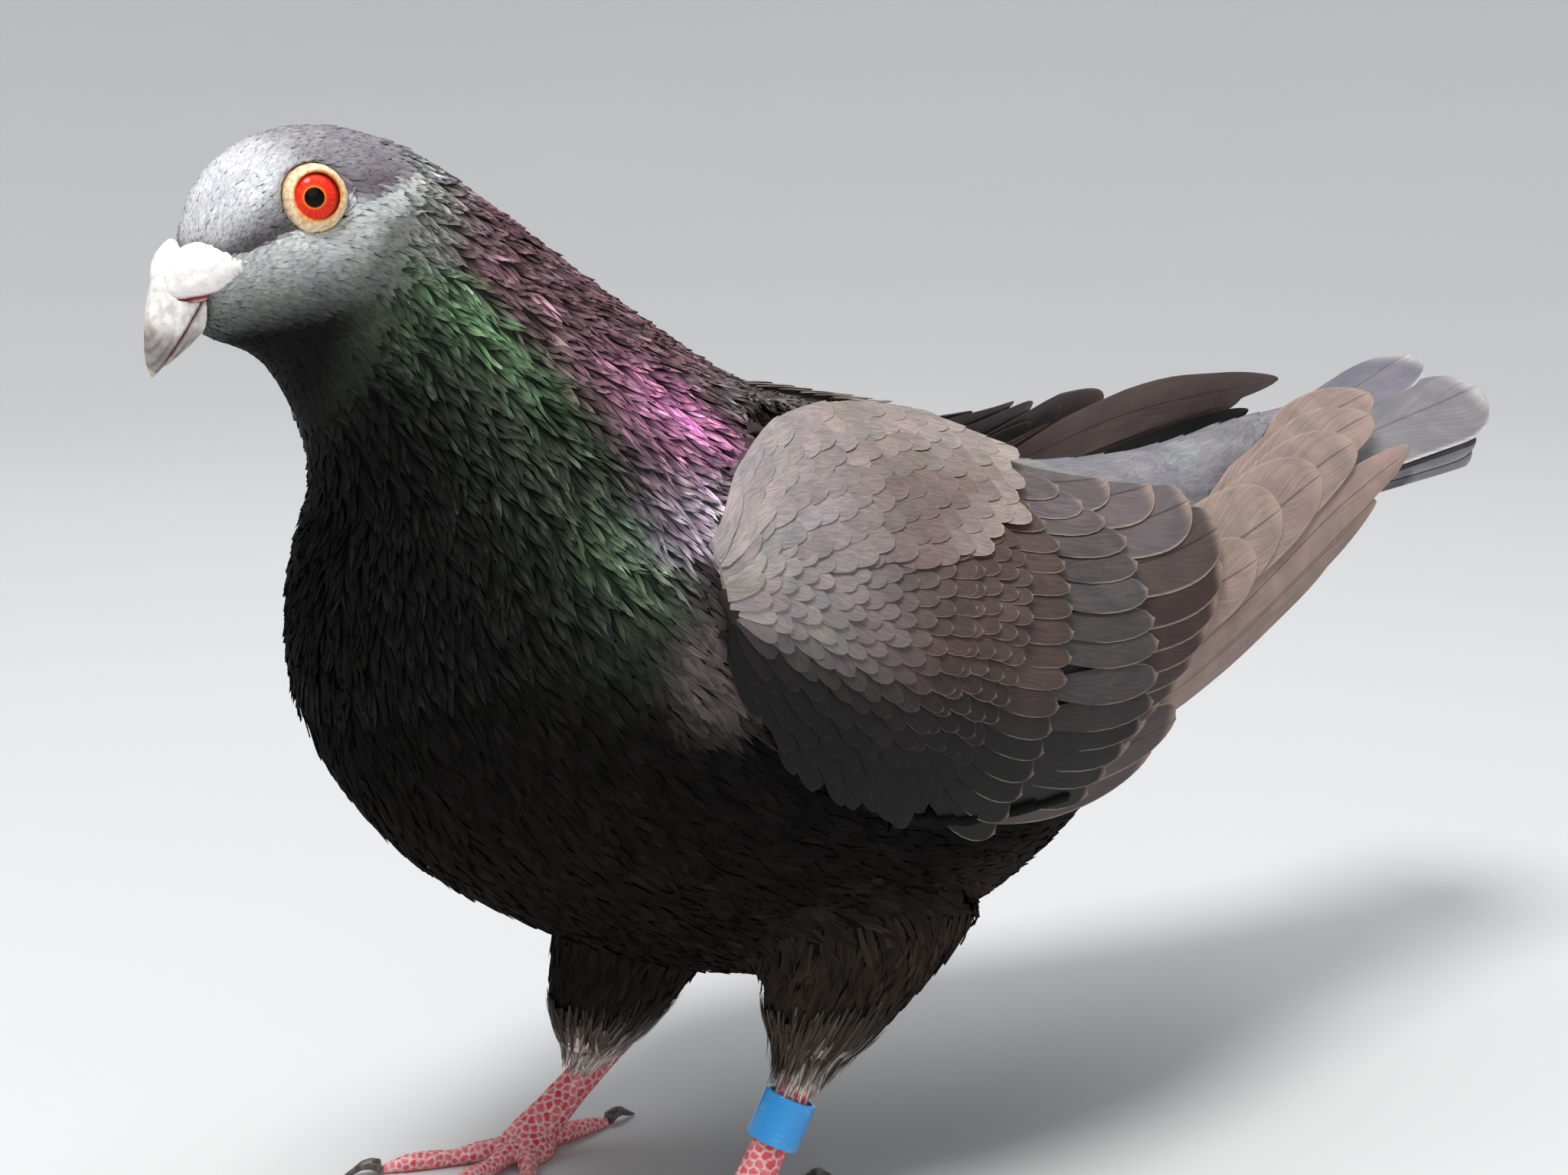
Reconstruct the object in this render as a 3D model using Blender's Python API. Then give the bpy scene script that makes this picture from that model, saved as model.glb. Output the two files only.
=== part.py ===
"""A pigeon, life size, standing with its neck stretched forward and its head turned a little to its left.

It faces -Y, its left side is +X and +Z is up. The origin is on the floor under the middle of its outline.
"""

import math

import bmesh
import bpy
from mathutils import Matrix, Vector

MM = 0.001
GAP = 0.3 * MM
SIDES = (("left", 1), ("right", -1))
TAU = 2 * math.pi

# Body: each rib runs from the front or belly outline to the back outline, in mm:
# (front y, front z, back y, back z, half width). Ribs lie square to the spine, from the face to the tail.
RIBS = (
    (3.6, 165.2, 1.6, 179.0, 5.0),
    (6.5, 163.8, 2.8, 185.5, 7.6),
    (11.0, 162.5, 7.0, 191.8, 9.8),
    (15.5, 159.5, 15.5, 196.5, 11.3),
    (18.5, 155.5, 27.0, 197.6, 12.4),
    (21.5, 149.5, 41.0, 194.0, 14.0),
    (25.0, 142.0, 55.5, 185.5, 17.0),
    (26.0, 134.0, 74.0, 172.5, 22.0),
    (23.5, 125.0, 93.0, 159.5, 29.0),
    (22.3, 112.5, 110.0, 149.5, 35.5),
    (24.5, 98.5, 125.0, 145.5, 40.5),
    (31.0, 84.5, 138.0, 142.5, 43.5),
    (42.5, 71.0, 150.0, 138.0, 45.5),
    (58.5, 59.5, 160.0, 133.5, 46.0),
    (77.0, 49.5, 170.0, 131.0, 45.5),
    (96.0, 42.0, 180.0, 129.5, 43.5),
    (118.0, 38.0, 190.0, 128.5, 40.0),
    (139.0, 38.5, 200.0, 128.0, 34.5),
    (160.0, 43.0, 210.0, 128.5, 28.0),
    (178.0, 52.0, 219.0, 129.5, 21.5),
    (193.0, 66.0, 227.0, 131.0, 16.5),
    (208.0, 86.0, 237.0, 132.5, 13.0),
    (224.0, 107.0, 248.0, 133.5, 10.0),
    (238.0, 119.0, 258.0, 133.5, 7.5),
    (250.0, 125.5, 267.0, 132.5, 4.5),
)
HEAD_END = 5.6
NECK_END = 9.2
PART_GAP = 0.04
RINGS_PER_RIB = 1.5
BODY_SIDES = 24

# The head turns to the left about an upright line through the nape.
HEAD_TURN = math.radians(7)
TURN_PIVOT = Vector((0, 75 * MM, 0))

# Eyes and lids
EYE_RADIUS = 5.0 * MM
EYE_CENTRE = Vector((7.6, 19.5, 186.1)) * MM
EYE_FORWARD = math.radians(17)
EYE_UP = math.radians(5)
LID_INNER = 3.6 * MM
LID_OUTER = 4.9 * MM
LID_TOP = 4.3 * MM

# Bill: the mouth line runs from the gape to the tip; sizes are along it and square to it.
GAPE = Vector((0, 2.0, 171.4)) * MM
BILL_SLOPE = math.radians(58)
BILL_START = -1.0 * MM
BILL_LENGTH = 13.2 * MM
LOWER_LENGTH = 12.0 * MM
BILL_HOOK = 0.5 * MM
HOOK_START = 0.80
BILL_HALF_WIDTH = 4.2 * MM
# How far the bill narrows before its rounded end, how slowly it grows shallow, and its blunt end's share.
BILL_TAPER, BILL_SHALLOWING, BILL_BLUNTNESS = 0.35, 1.6, 0.04
UPPER_DEPTH = 6.2 * MM
LOWER_DEPTH = 4.6 * MM
# Each cere lobe is an egg: blunt in front, narrow behind, flattened below.
CERE_CENTRE = Vector((4.7, 4.2, 175.5)) * MM
CERE_SIZE = Vector((3.4, 8.4, 5.2)) * MM
CERE_SWING = math.radians(36)
CERE_PITCH = math.radians(22)
CERE_UNDERSIDE = 0.55
CERE_NARROWING = 0.3

# Wings: rows across the left wing's outer face, in mm: (y, top x, z, middle x, z, lower x, z).
WING_ROWS = (
    (74, 43, 131, 47, 122, 45, 112),
    (85, 35, 141, 49.5, 122, 47, 95),
    (100, 25, 147, 51, 118, 48, 83),
    (120, 17, 147.5, 51.5, 115, 47, 75),
    (140, 15, 144, 50.5, 112, 45.5, 73.5),
    (160, 15.5, 139.5, 47.5, 109, 43.5, 74),
    (180, 16.5, 138.5, 43, 109, 43, 79.5),
    (200, 17, 140.5, 38, 113, 41, 88.5),
    (220, 16, 142.5, 33.5, 119, 37.5, 98),
    (240, 14, 143, 29, 125, 33, 106.5),
    (260, 12, 143, 26, 130, 29, 116),
    (276, 12, 143, 22, 133.5, 25, 125),
)
# The upper edge of each wing's feathers on that face: (y in mm, share of the way down the face).
UPPER_EDGES = {
    "left": (
        (74, 0), (140, 0), (160, 0.085), (180, 0.15),
        (198, 0.22), (214, 0.2), (234, 0.14), (276, 0.07),
    ),
    "right": ((74, 0), (150, 0), (180, 0.02), (200, 0), (225, -0.03), (276, -0.04)),
}
# Fronts and ends of the three layers of feathers, in mm: each bows back by the second number.
WING_FRONT = 74
SHIELD_BEND = 9
SHIELD_REAR, SHIELD_BOW = 150, 24
SECONDARY_FRONT = 122
SECONDARY_REAR, SECONDARY_BOW, SECONDARY_SCALLOP = 176, 23, 2.2
PRIMARY_FRONT = 150
PRIMARY_TIPS = ((0, 252), (0.2, 263), (0.36, 259), (0.6, 271), (0.85, 267), (1, 254))
SHIELD_DEPTH = 3.0 * MM
SECONDARY_DEPTH = 1.6 * MM
PRIMARY_DEPTH = 1.8 * MM
EDGE_DEPTH = 0.7 * MM
LAYER_GAP = 0.5 * MM
SECONDARY_COUNT = 9
ROOM_ABOVE = 15 * MM
ROOM_END = 275 * MM

# Tail: rows along it, in mm and degrees:
# (y, height of its middle, half width, drop of its edges, roll to the left).
TAIL_ROWS = (
    (204, 116, 11, 2, 0),
    (230, 120, 16, 4, 1),
    (258, 126, 20.5, 5, 4),
    (285, 134.5, 24.5, 6.5, 11),
    (304, 139.5, 23.5, 6.5, 15),
)
TAIL_END = 298.5
TAIL_ROUNDING, TAIL_SCALLOP = 20, 1.2
TAIL_DEPTH = 2.8 * MM

# Legs, in mm: the middle of each foot's ball, the heel joint, and the top of the thigh.
FEET = {"left": (21.5, 95), "right": (-28, 80)}
HEELS = {"left": (24, 109, 32), "right": (-28, 104, 22.5)}
THIGH_TOPS = {"left": (23, 126.5, 64), "right": (-24, 113, 64)}
THIGH_ENDS = {"left": (23.5, 106, 30), "right": (-28, 92.5, 18)}
FOOT_YAW = {"left": 8, "right": 20}
SHANK_FOOT = 3.5
SHANK_RADIUS = 3.1 * MM
BALL_RADIUS = 5.6 * MM
BALL_HEIGHT = 6.4 * MM

# Toes: name, angle outwards from straight ahead, length and number of pads.
TOES = (
    ("inner", -40, 20 * MM, 2),
    ("middle", 0, 27 * MM, 3),
    ("outer", 40, 22 * MM, 4),
    ("hind", 190, 15 * MM, 1),
)
TOE_RADIUS = 2.1 * MM
CLAW_LENGTH = 7 * MM
CLAW_RADIUS = 1.25 * MM

# Leg ring on the left shank
RING_RADIUS = 4.9 * MM
RING_WALL = 0.9 * MM
RING_LENGTH = 9.0 * MM
RING_PLACE = 0.56

COLOURS = {
    "plumage": ((0.03, 0.032, 0.036), 0.6),
    "wing": ((0.10, 0.085, 0.075), 0.6),
    "tail": ((0.14, 0.15, 0.17), 0.6),
    "bill": ((0.45, 0.40, 0.38), 0.4),
    "cere": ((0.85, 0.82, 0.80), 0.6),
    "eye": ((0.65, 0.04, 0.01), 0.1),
    "lid": ((0.80, 0.55, 0.32), 0.6),
    "skin": ((0.65, 0.16, 0.16), 0.5),
    "claw": ((0.10, 0.08, 0.08), 0.4),
    "ring": ((0.08, 0.42, 0.72), 0.3),
}


def collection(name):
    made = bpy.data.collections.new(name)
    bpy.context.scene.collection.children.link(made)
    return made


for old in list(bpy.data.objects):
    bpy.data.objects.remove(old)
PIGEON = collection("pigeon")
CUTTERS = collection("cutters")
ROOT = bpy.data.objects.new("pigeon_root", None)
PIGEON.objects.link(ROOT)


def material(name):
    colour, roughness = COLOURS[name]
    found = bpy.data.materials.get(name)
    if found:
        return found
    made = bpy.data.materials.new(name)
    made.use_nodes = True
    shader = made.node_tree.nodes["Principled BSDF"]
    shader.inputs["Base Color"].default_value = (*colour, 1)
    shader.inputs["Roughness"].default_value = roughness
    return made


def keep(name, mesh, finish):
    """Adds the mesh as a named piece of the pigeon."""
    piece = bpy.data.objects.new(name, mesh)
    PIGEON.objects.link(piece)
    piece.parent = ROOT
    mesh.materials.append(material(finish))
    mesh.shade_smooth()
    mesh.set_sharp_from_angle(angle=math.radians(40))
    return piece


def cutter(name, mesh):
    tool = bpy.data.objects.new(name, mesh)
    CUTTERS.objects.link(tool)
    tool.parent = ROOT
    tool.hide_render = True
    tool.display_type = "WIRE"
    return tool


def cut(piece, tool):
    step = piece.modifiers.new("cut_" + tool.name, "BOOLEAN")
    step.operation = "DIFFERENCE"
    step.solver = "EXACT"
    step.object = tool


def finish_mesh(name, bm):
    bmesh.ops.recalc_face_normals(bm, faces=bm.faces)
    mesh = bpy.data.meshes.new(name)
    bm.to_mesh(mesh)
    bm.free()
    return mesh


def loft(name, rings):
    """A closed mesh through rings of points, with a fan at each end."""
    bm = bmesh.new()
    rows = [[bm.verts.new(point) for point in ring] for ring in rings]
    sides = len(rows[0])
    for here, after in zip(rows, rows[1:]):
        for k in range(sides):
            nxt = (k + 1) % sides
            bm.faces.new((here[k], here[nxt], after[nxt], after[k]))
    for row in (rows[0], rows[-1]):
        middle = bm.verts.new(sum((v.co for v in row), Vector()) / sides)
        for k in range(sides):
            bm.faces.new((row[k], row[(k + 1) % sides], middle))
    return finish_mesh(name, bm)


def plate(name, outer, inner):
    """A closed mesh between two grids of points of the same size."""
    bm = bmesh.new()
    faces = [[[bm.verts.new(p) for p in row] for row in grid] for grid in (outer, inner)]
    rows, columns = len(outer), len(outer[0])
    for grid in faces:
        for i in range(rows - 1):
            for j in range(columns - 1):
                corners = (grid[i][j], grid[i + 1][j], grid[i + 1][j + 1], grid[i][j + 1])
                bm.faces.new(corners)
    rim = [(i, 0) for i in range(rows)] + [(rows - 1, j) for j in range(1, columns)]
    rim += [(i, columns - 1) for i in range(rows - 2, -1, -1)]
    rim += [(0, j) for j in range(columns - 2, 0, -1)]
    for (i, j), (m, n) in zip(rim, rim[1:] + rim[:1]):
        bm.faces.new((faces[0][i][j], faces[0][m][n], faces[1][m][n], faces[1][i][j]))
    return finish_mesh(name, bm)


def spline(rows, place):
    """The row at a place along a table, by a smooth curve through its rows."""
    last = len(rows) - 1
    i = min(max(int(place), 0), last - 1)
    t = place - i
    a, b, c, d = (rows[min(max(k, 0), last)] for k in (i - 1, i, i + 1, i + 2))
    return [
        0.5 * (2 * q + (r - p) * t + (2 * p - 5 * q + 4 * r - s) * t**2 + (3 * q - p - 3 * r + s) * t**3)
        for p, q, r, s in zip(a, b, c, d)
    ]


def at_first(rows, value):
    """The place along a table where its first column has this value."""
    for k, (here, after) in enumerate(zip(rows, rows[1:])):
        if value <= after[0]:
            return k + (value - here[0]) / (after[0] - here[0])
    return len(rows) - 1


def smooth(t):
    t = min(max(t, 0), 1)
    return t * t * (3 - 2 * t)


def turned(point, share=1.0):
    """A point of the head, turned to the left."""
    return Matrix.Rotation(HEAD_TURN * share, 3, "Z") @ (point - TURN_PIVOT) + TURN_PIVOT


# Body


def body_ring(place, grow=0.0):
    front_y, front_z, back_y, back_z, half_width = (v * MM for v in spline(RIBS, place))
    front = Vector((0, front_y, front_z))
    back = Vector((0, back_y, back_z))
    middle = (front + back) / 2
    along = (back - front).normalized()
    half = (back - front).length / 2 + grow
    share = 1 - smooth((place - HEAD_END + 1) / (NECK_END - HEAD_END + 1))
    ring = []
    for k in range(BODY_SIDES):
        angle = TAU * k / BODY_SIDES
        across = (half_width + grow) * math.sin(angle) * (1 + 0.08 * math.cos(angle))
        point = middle + along * half * math.cos(angle) + Vector((across, 0, 0))
        ring.append(turned(point, share))
    return ring


def body_length(name, start, end, grow=0.0):
    count = max(2, round((end - start) * RINGS_PER_RIB))
    return loft(name, [body_ring(start + (end - start) * k / count, grow) for k in range(count + 1)])


def make_body():
    head = keep("head", body_length("head", 0, HEAD_END - PART_GAP / 2), "plumage")
    neck_mesh = body_length("neck", HEAD_END + PART_GAP / 2, NECK_END - PART_GAP / 2)
    neck = keep("neck", neck_mesh, "plumage")
    last = len(RIBS) - 1
    trunk = keep("trunk", body_length("trunk", NECK_END + PART_GAP / 2, last), "plumage")
    return head, neck, trunk


# Head


def eye_frame(side):
    """A matrix whose Z axis looks out of the eye, at the eye's centre."""
    out = Vector((math.cos(EYE_FORWARD), -math.sin(EYE_FORWARD), math.sin(EYE_UP))).normalized()
    centre = EYE_CENTRE.copy()
    out.x *= side
    centre.x *= side
    turn = Matrix.Rotation(HEAD_TURN, 4, "Z")
    rotation = (turn.to_3x3() @ out).to_track_quat("Z", "Y").to_matrix().to_4x4()
    return Matrix.Translation(turned(centre)) @ rotation


def revolve(name, profile, sides):
    """A closed ring of revolution about Z, from a closed profile of (radius, height)."""
    bm = bmesh.new()
    rows = []
    for k in range(sides):
        angle = TAU * k / sides
        rows.append([bm.verts.new((r * math.cos(angle), r * math.sin(angle), z)) for r, z in profile])
    for here, after in zip(rows, rows[1:] + rows[:1]):
        for j in range(len(profile)):
            nxt = (j + 1) % len(profile)
            bm.faces.new((here[j], after[j], after[nxt], here[nxt]))
    return finish_mesh(name, bm)


def ball(name, radius):
    bm = bmesh.new()
    bmesh.ops.create_uvsphere(bm, u_segments=12, v_segments=8, radius=radius)
    return finish_mesh(name, bm)


def drum(name, radius, low, high):
    bm = bmesh.new()
    place = Matrix.Translation((0, 0, (low + high) / 2))
    bmesh.ops.create_cone(
        bm, cap_ends=True, segments=14, radius1=radius, radius2=radius, depth=high - low, matrix=place
    )
    return finish_mesh(name, bm)


def make_eyes(head):
    """Eyeballs in sockets, each with a fleshy lid round it."""
    seat = EYE_RADIUS + GAP
    lid_low = math.sqrt(seat**2 - LID_OUTER**2) + 2 * GAP
    steps = 2
    heights = [lid_low + (LID_TOP - lid_low) * k / steps for k in range(steps + 1)]
    inner = [(max(math.sqrt(max(seat**2 - z**2, 0)) + 0.02 * MM, LID_INNER), z) for z in heights]
    profile = inner + [(LID_OUTER - 0.5 * MM, LID_TOP + 0.3 * MM), (LID_OUTER, LID_TOP - 0.4 * MM)]
    profile.append((LID_OUTER, lid_low))
    for name, side in SIDES:
        frame = eye_frame(side)
        keep("eye_" + name, ball("eye_" + name, EYE_RADIUS), "eye").matrix_local = frame
        keep("eyelid_" + name, revolve("eyelid_" + name, profile, 14), "lid").matrix_local = frame
        socket = cutter("socket_" + name, ball("socket_" + name, seat))
        rim_mesh = drum("lid_seat_" + name, LID_OUTER + GAP, lid_low - GAP, 2 * EYE_RADIUS)
        rim = cutter("lid_seat_" + name, rim_mesh)
        for tool in (socket, rim):
            tool.matrix_local = frame
            cut(head, tool)


def bill_point(along, square, across):
    """A point by its distance along the mouth line from the gape, square to it, and to the left."""
    forward = Vector((0, -math.cos(BILL_SLOPE), -math.sin(BILL_SLOPE)))
    up = Vector((0, -math.sin(BILL_SLOPE), math.cos(BILL_SLOPE)))
    return turned(GAPE + forward * along + up * square + Vector((across, 0, 0)))


def bill_half(name, depth, sign, length, hook):
    """One half of the bill: a loft, flat at the mouth line and arched away from it, narrowing to its tip."""
    rings = []
    steps = 9
    for k in range(steps + 1):
        t = k / steps
        narrow = (1 - BILL_TAPER * t) * math.sqrt(max(1 - t**3, 0)) + BILL_BLUNTNESS
        shallow = 1 - t**BILL_SHALLOWING + BILL_BLUNTNESS
        drop = hook * smooth((t - HOOK_START) / (1 - HOOK_START))
        along = BILL_START + (length - BILL_START) * t
        ring = []
        for j in range(9):
            angle = math.pi * j / 8
            across = BILL_HALF_WIDTH * narrow * math.cos(angle)
            square = sign * (GAP / 2 + depth * shallow * math.sin(angle)) - drop
            ring.append(bill_point(along, square, across))
        rings.append(ring)
    return loft(name, rings)


def cere_lobe(name, side, grow=0.0):
    """A swollen lobe that lies over the nostril, long axis running back and out along the face."""
    bm = bmesh.new()
    bmesh.ops.create_uvsphere(bm, u_segments=12, v_segments=8, radius=1)
    swing = Matrix.Rotation(-side * CERE_SWING, 4, "Z") @ Matrix.Rotation(CERE_PITCH, 4, "X")
    centre = Vector((CERE_CENTRE.x * side, CERE_CENTRE.y, CERE_CENTRE.z))
    for vert in bm.verts:
        narrow = 1 - CERE_NARROWING * vert.co.y
        height = CERE_SIZE.z * narrow * (1 if vert.co.z > 0 else CERE_UNDERSIDE)
        sizes = (CERE_SIZE.x * narrow, CERE_SIZE.y, height)
        local = Vector(v * (size + grow) for v, size in zip(vert.co, sizes))
        point = centre + swing @ local
        point.x = side * max(side * point.x, GAP / 2 - grow)
        vert.co = turned(point)
    return finish_mesh(name, bm)


def make_bill():
    """The bill and its two cere lobes, fitted to the face."""
    face = cutter("face_room", body_length("face_room", -0.06, 4, GAP))
    upper_mesh = bill_half("bill_upper", UPPER_DEPTH, 1, BILL_LENGTH, BILL_HOOK)
    upper = keep("bill_upper", upper_mesh, "bill")
    lower_mesh = bill_half("bill_lower", LOWER_DEPTH, -1, LOWER_LENGTH, 0)
    lower = keep("bill_lower", lower_mesh, "bill")
    for piece in (upper, lower):
        cut(piece, face)
    for name, side in SIDES:
        lobe = keep("cere_" + name, cere_lobe("cere_" + name, side), "cere")
        cut(lobe, face)
        room = cutter("cere_room_" + name, cere_lobe("cere_room_" + name, side, GAP))
        cut(upper, room)
        cut(lower, room)


# Wings


def wing_point(y, v, depth=0.0, step=0.01):
    """A point below the left wing's outer face, from its upper edge (v = 0) to its lower edge (v = 1)."""

    def outer(y, v):
        row = spline(WING_ROWS, at_first(WING_ROWS, y / MM))[1:]
        top, middle, low = (Vector((x, 0, z)) for x, z in zip(row[::2], row[1::2]))
        point = top * (2 * v * v - 3 * v + 1) + middle * (4 * v - 4 * v * v) + low * (2 * v * v - v)
        return Vector((point.x * MM, y, point.z * MM))

    down = outer(y, v + step) - outer(y, v - step)
    back = outer(y + 10 * step * MM, v) - outer(y - 10 * step * MM, v)
    return outer(y, v) - down.cross(back).normalized() * depth


def upper_edge(edges, y):
    """How far down the wing's face its feathers start, as a share."""
    place = at_first(edges, y / MM)
    k = min(int(place), len(edges) - 2)
    return edges[k][1] + (edges[k + 1][1] - edges[k][1]) * (place - k)


def wing_plate(name, side, front, rear, high, low, depths, rows, columns, edges=None):
    """A curved plate between two depths below the wing's outer face, thinned towards its rim.

    edges is the upper edge of the feathers; without it the plate covers the whole face and has a full rim.
    """
    outer, inner = [], []
    for i in range(rows + 1):
        s = i / rows
        outer.append([])
        inner.append([])
        for j in range(columns + 1):
            across = j / columns
            v = high + (low - high) * across
            y = front(v) + (rear(v) - front(v)) * s
            edge = 1
            if edges:
                edge = min(4 * s, 8 * (1 - s), 7 * across, 7 * (1 - across), 1)
                start = upper_edge(edges, y)
                v = start + (1 - start) * v
            thick = EDGE_DEPTH + (depths[1] - depths[0] - EDGE_DEPTH) * math.sqrt(edge)
            for grid, depth in ((outer, depths[1] - thick), (inner, depths[1])):
                point = wing_point(y, v, depth)
                point.x *= side
                grid[-1].append(point)
    return plate(name, outer, inner)


def shield_front(v):
    return (WING_FRONT + SHIELD_BEND * (2 * v - 1) ** 2) * MM


def shield_rear(v):
    return (SHIELD_REAR + SHIELD_BOW * math.sin(math.pi * v) ** 0.8) * MM


def secondary_front(_):
    return SECONDARY_FRONT * MM


def secondary_rear(v):
    """The rounded ends of the secondaries, one scallop to each."""
    bow = SECONDARY_BOW * math.sin(math.pi * (0.22 + 0.70 * v)) ** 1.2
    scallop = SECONDARY_SCALLOP * abs(math.sin(SECONDARY_COUNT * math.pi * v))
    return (SECONDARY_REAR + bow + scallop) * MM


def primary_front(_):
    return PRIMARY_FRONT * MM


def primary_rear(v):
    return spline(PRIMARY_TIPS, at_first(PRIMARY_TIPS, v))[1] * MM


def room_front(v):
    return shield_front(v) - GAP


def room_rear(_):
    return ROOM_END


def make_wings(body):
    """Three layers a side: the shield of coverts, the secondaries under it, then the primaries."""
    shield = (0, SHIELD_DEPTH)
    secondary = (shield[1] + LAYER_GAP, shield[1] + LAYER_GAP + SECONDARY_DEPTH)
    primary = (secondary[1] + LAYER_GAP, secondary[1] + LAYER_GAP + PRIMARY_DEPTH)
    room = (-ROOM_ABOVE, primary[1] + LAYER_GAP)
    for name, side in SIDES:
        edges = UPPER_EDGES[name]
        layers = (
            ("wing_", shield_front, shield_rear, 0, 1, shield, 9, 8),
            ("secondaries_", secondary_front, secondary_rear, 0.02, 0.98, secondary, 4, 18),
            ("primaries_", primary_front, primary_rear, 0.05, 0.96, primary, 9, 8),
        )
        for layer, *shape in layers:
            keep(layer + name, wing_plate(layer + name, side, *shape, edges), "wing")
        space = wing_plate("wing_room_" + name, side, room_front, room_rear, -0.05, 1.01, room, 10, 8)
        room_for_wing = cutter("wing_room_" + name, space)
        for piece in body:
            cut(piece, room_for_wing)


# Tail


def tail_point(y, a, depth=0.0):
    """A point of the tail from its right edge (a = -1) to its left edge (a = 1), below its upper face."""
    height, half, drop, roll = spline(TAIL_ROWS, at_first(TAIL_ROWS, y / MM))[1:]
    across = Vector((a * half * MM, 0, -drop * a * a * MM - depth))
    return Vector((0, y, height * MM)) + Matrix.Rotation(math.radians(roll), 3, "Y") @ across


def tail_plate(name, grow=0.0):
    """The folded tail feathers as one arched plate, thinner towards its edges and its end."""
    rows, columns = 5, 18
    start = TAIL_ROWS[0][0] * MM - grow
    outer, inner = [], []
    for i in range(rows + 1):
        s = i / rows
        outer.append([])
        inner.append([])
        for j in range(columns + 1):
            a = 2 * j / columns - 1
            y = start + (tail_rear(a) - start) * s
            edge = math.sqrt(min(6 * (1 - abs(a)), 1))
            thick = EDGE_DEPTH + (TAIL_DEPTH - EDGE_DEPTH) * edge * (1 - 0.6 * s)
            wide = a * (1 + grow / (10 * MM))
            outer[-1].append(tail_point(y, wide, -grow))
            inner[-1].append(tail_point(y, wide, thick + grow))
    return plate(name, outer, inner)


def tail_rear(a):
    scallop = TAIL_SCALLOP * abs(math.sin(3 * math.pi * a))
    return (TAIL_END - TAIL_ROUNDING * abs(a) ** 3 + scallop) * MM


def make_tail(trunk):
    cut(trunk, cutter("tail_room", tail_plate("tail_room", GAP)))
    return keep("tail", tail_plate("tail"), "tail")


# Legs


def tube(name, stations, sides):
    """A loft of round rings: each station is (centre, axis, first radius, second radius)."""
    rings = []
    for centre, axis, first, second in stations:
        u = axis.cross(Vector((1, 0, 0))).normalized()
        w = axis.cross(u).normalized()
        ring = []
        for k in range(sides):
            angle = TAU * (k + 0.5) / sides
            ring.append(centre + u * first * math.cos(angle) + w * second * math.sin(angle))
        rings.append(ring)
    return loft(name, rings)


def thigh(name, side, grow=0.0):
    """The feathered thigh, broad where it leaves the belly and narrow at the heel."""
    top, end = (Vector(table[side]) * MM for table in (THIGH_TOPS, THIGH_ENDS))
    axis = (end - top).normalized()
    stations = []
    for k in range(8):
        t = k / 7
        centre = top.lerp(end, t) + axis * grow * (2 * t - 1)
        narrow = (1 - t) ** 0.6
        long_radius = (5.4 + 20 * narrow) * MM + grow
        wide_radius = (5.0 + 11 * narrow) * MM + grow
        stations.append((centre, axis, long_radius, wide_radius))
    return tube(name, stations, 14)


def ball_of_foot(name, side, grow=0.0):
    x, y = FEET[side]
    down = Vector((0, 0, 1))
    stations = []
    for height, size in ((0, 0.86), (0.2, 0.97), (0.45, 1.0), (0.75, 0.82), (1, 0.45)):
        low = -grow if height == 0 else 0
        centre = Vector((x * MM, y * MM, (BALL_HEIGHT + grow) * height + low))
        stations.append((centre, down, BALL_RADIUS * size + grow, BALL_RADIUS * size + grow))
    return tube(name, stations, 12)


def shank_line(side):
    """The lower and upper ends of the shank's middle line."""
    x, y = FEET[side]
    return Vector((x, y, SHANK_FOOT)) * MM, Vector(HEELS[side]) * MM


def shank(name, side, grow=0.0):
    low, high = shank_line(side)
    axis = (high - low).normalized()
    stations = []
    for t in (0, 0.2, 0.45, 0.7, 0.88, 1.0, 1.08):
        swell = 1 + 0.40 * (1 - t) ** 4 + 0.12 * smooth((t - 0.6) / 0.35) - 0.55 * smooth((t - 0.98) / 0.1)
        radius = SHANK_RADIUS * swell
        stations.append((low.lerp(high, t), axis, radius * 1.08 + grow, radius * 0.94 + grow))
    return tube(name, stations, 10)


def toe_line(side, angle):
    """The start and direction of a toe on the floor; outward angles mirror on the right foot."""
    x, y = FEET[side]
    turn = math.radians(angle) * (1 if side == "left" else -1) + math.radians(FOOT_YAW[side])
    return Vector((x * MM, y * MM, 0)), Vector((math.sin(turn), -math.cos(turn), 0))


def toe(name, side, angle, length, pads):
    start, ahead = toe_line(side, angle)
    stations = []
    reach = BALL_RADIUS + length
    steps = 6
    for k in range(steps + 1):
        t = k / steps
        pad = 0.12 * math.cos(TAU * pads * t)
        radius = TOE_RADIUS * (0.80 + 0.2 * smooth(5 * t) - 0.30 * t - pad * smooth(4 * t))
        if k == steps:
            radius *= 0.75
        height = radius * 0.86 + 1.4 * MM * (1 - t) ** 3
        stations.append((start + ahead * reach * t + Vector((0, 0, height)), ahead, radius))
    return level_tube(name, stations, 8)


def level_tube(name, stations, sides):
    """A tube whose rings stand upright and whose underside is flattened on the floor."""
    rings = []
    for centre, axis, radius in stations:
        across = Vector((axis.y, -axis.x, 0))
        ring = []
        for k in range(sides):
            angle = TAU * (k + 0.5) / sides
            point = centre + across * radius * math.cos(angle) + Vector((0, 0, radius * math.sin(angle)))
            point.z = max(point.z, 0)
            ring.append(point)
        rings.append(ring)
    return loft(name, rings)


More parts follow.
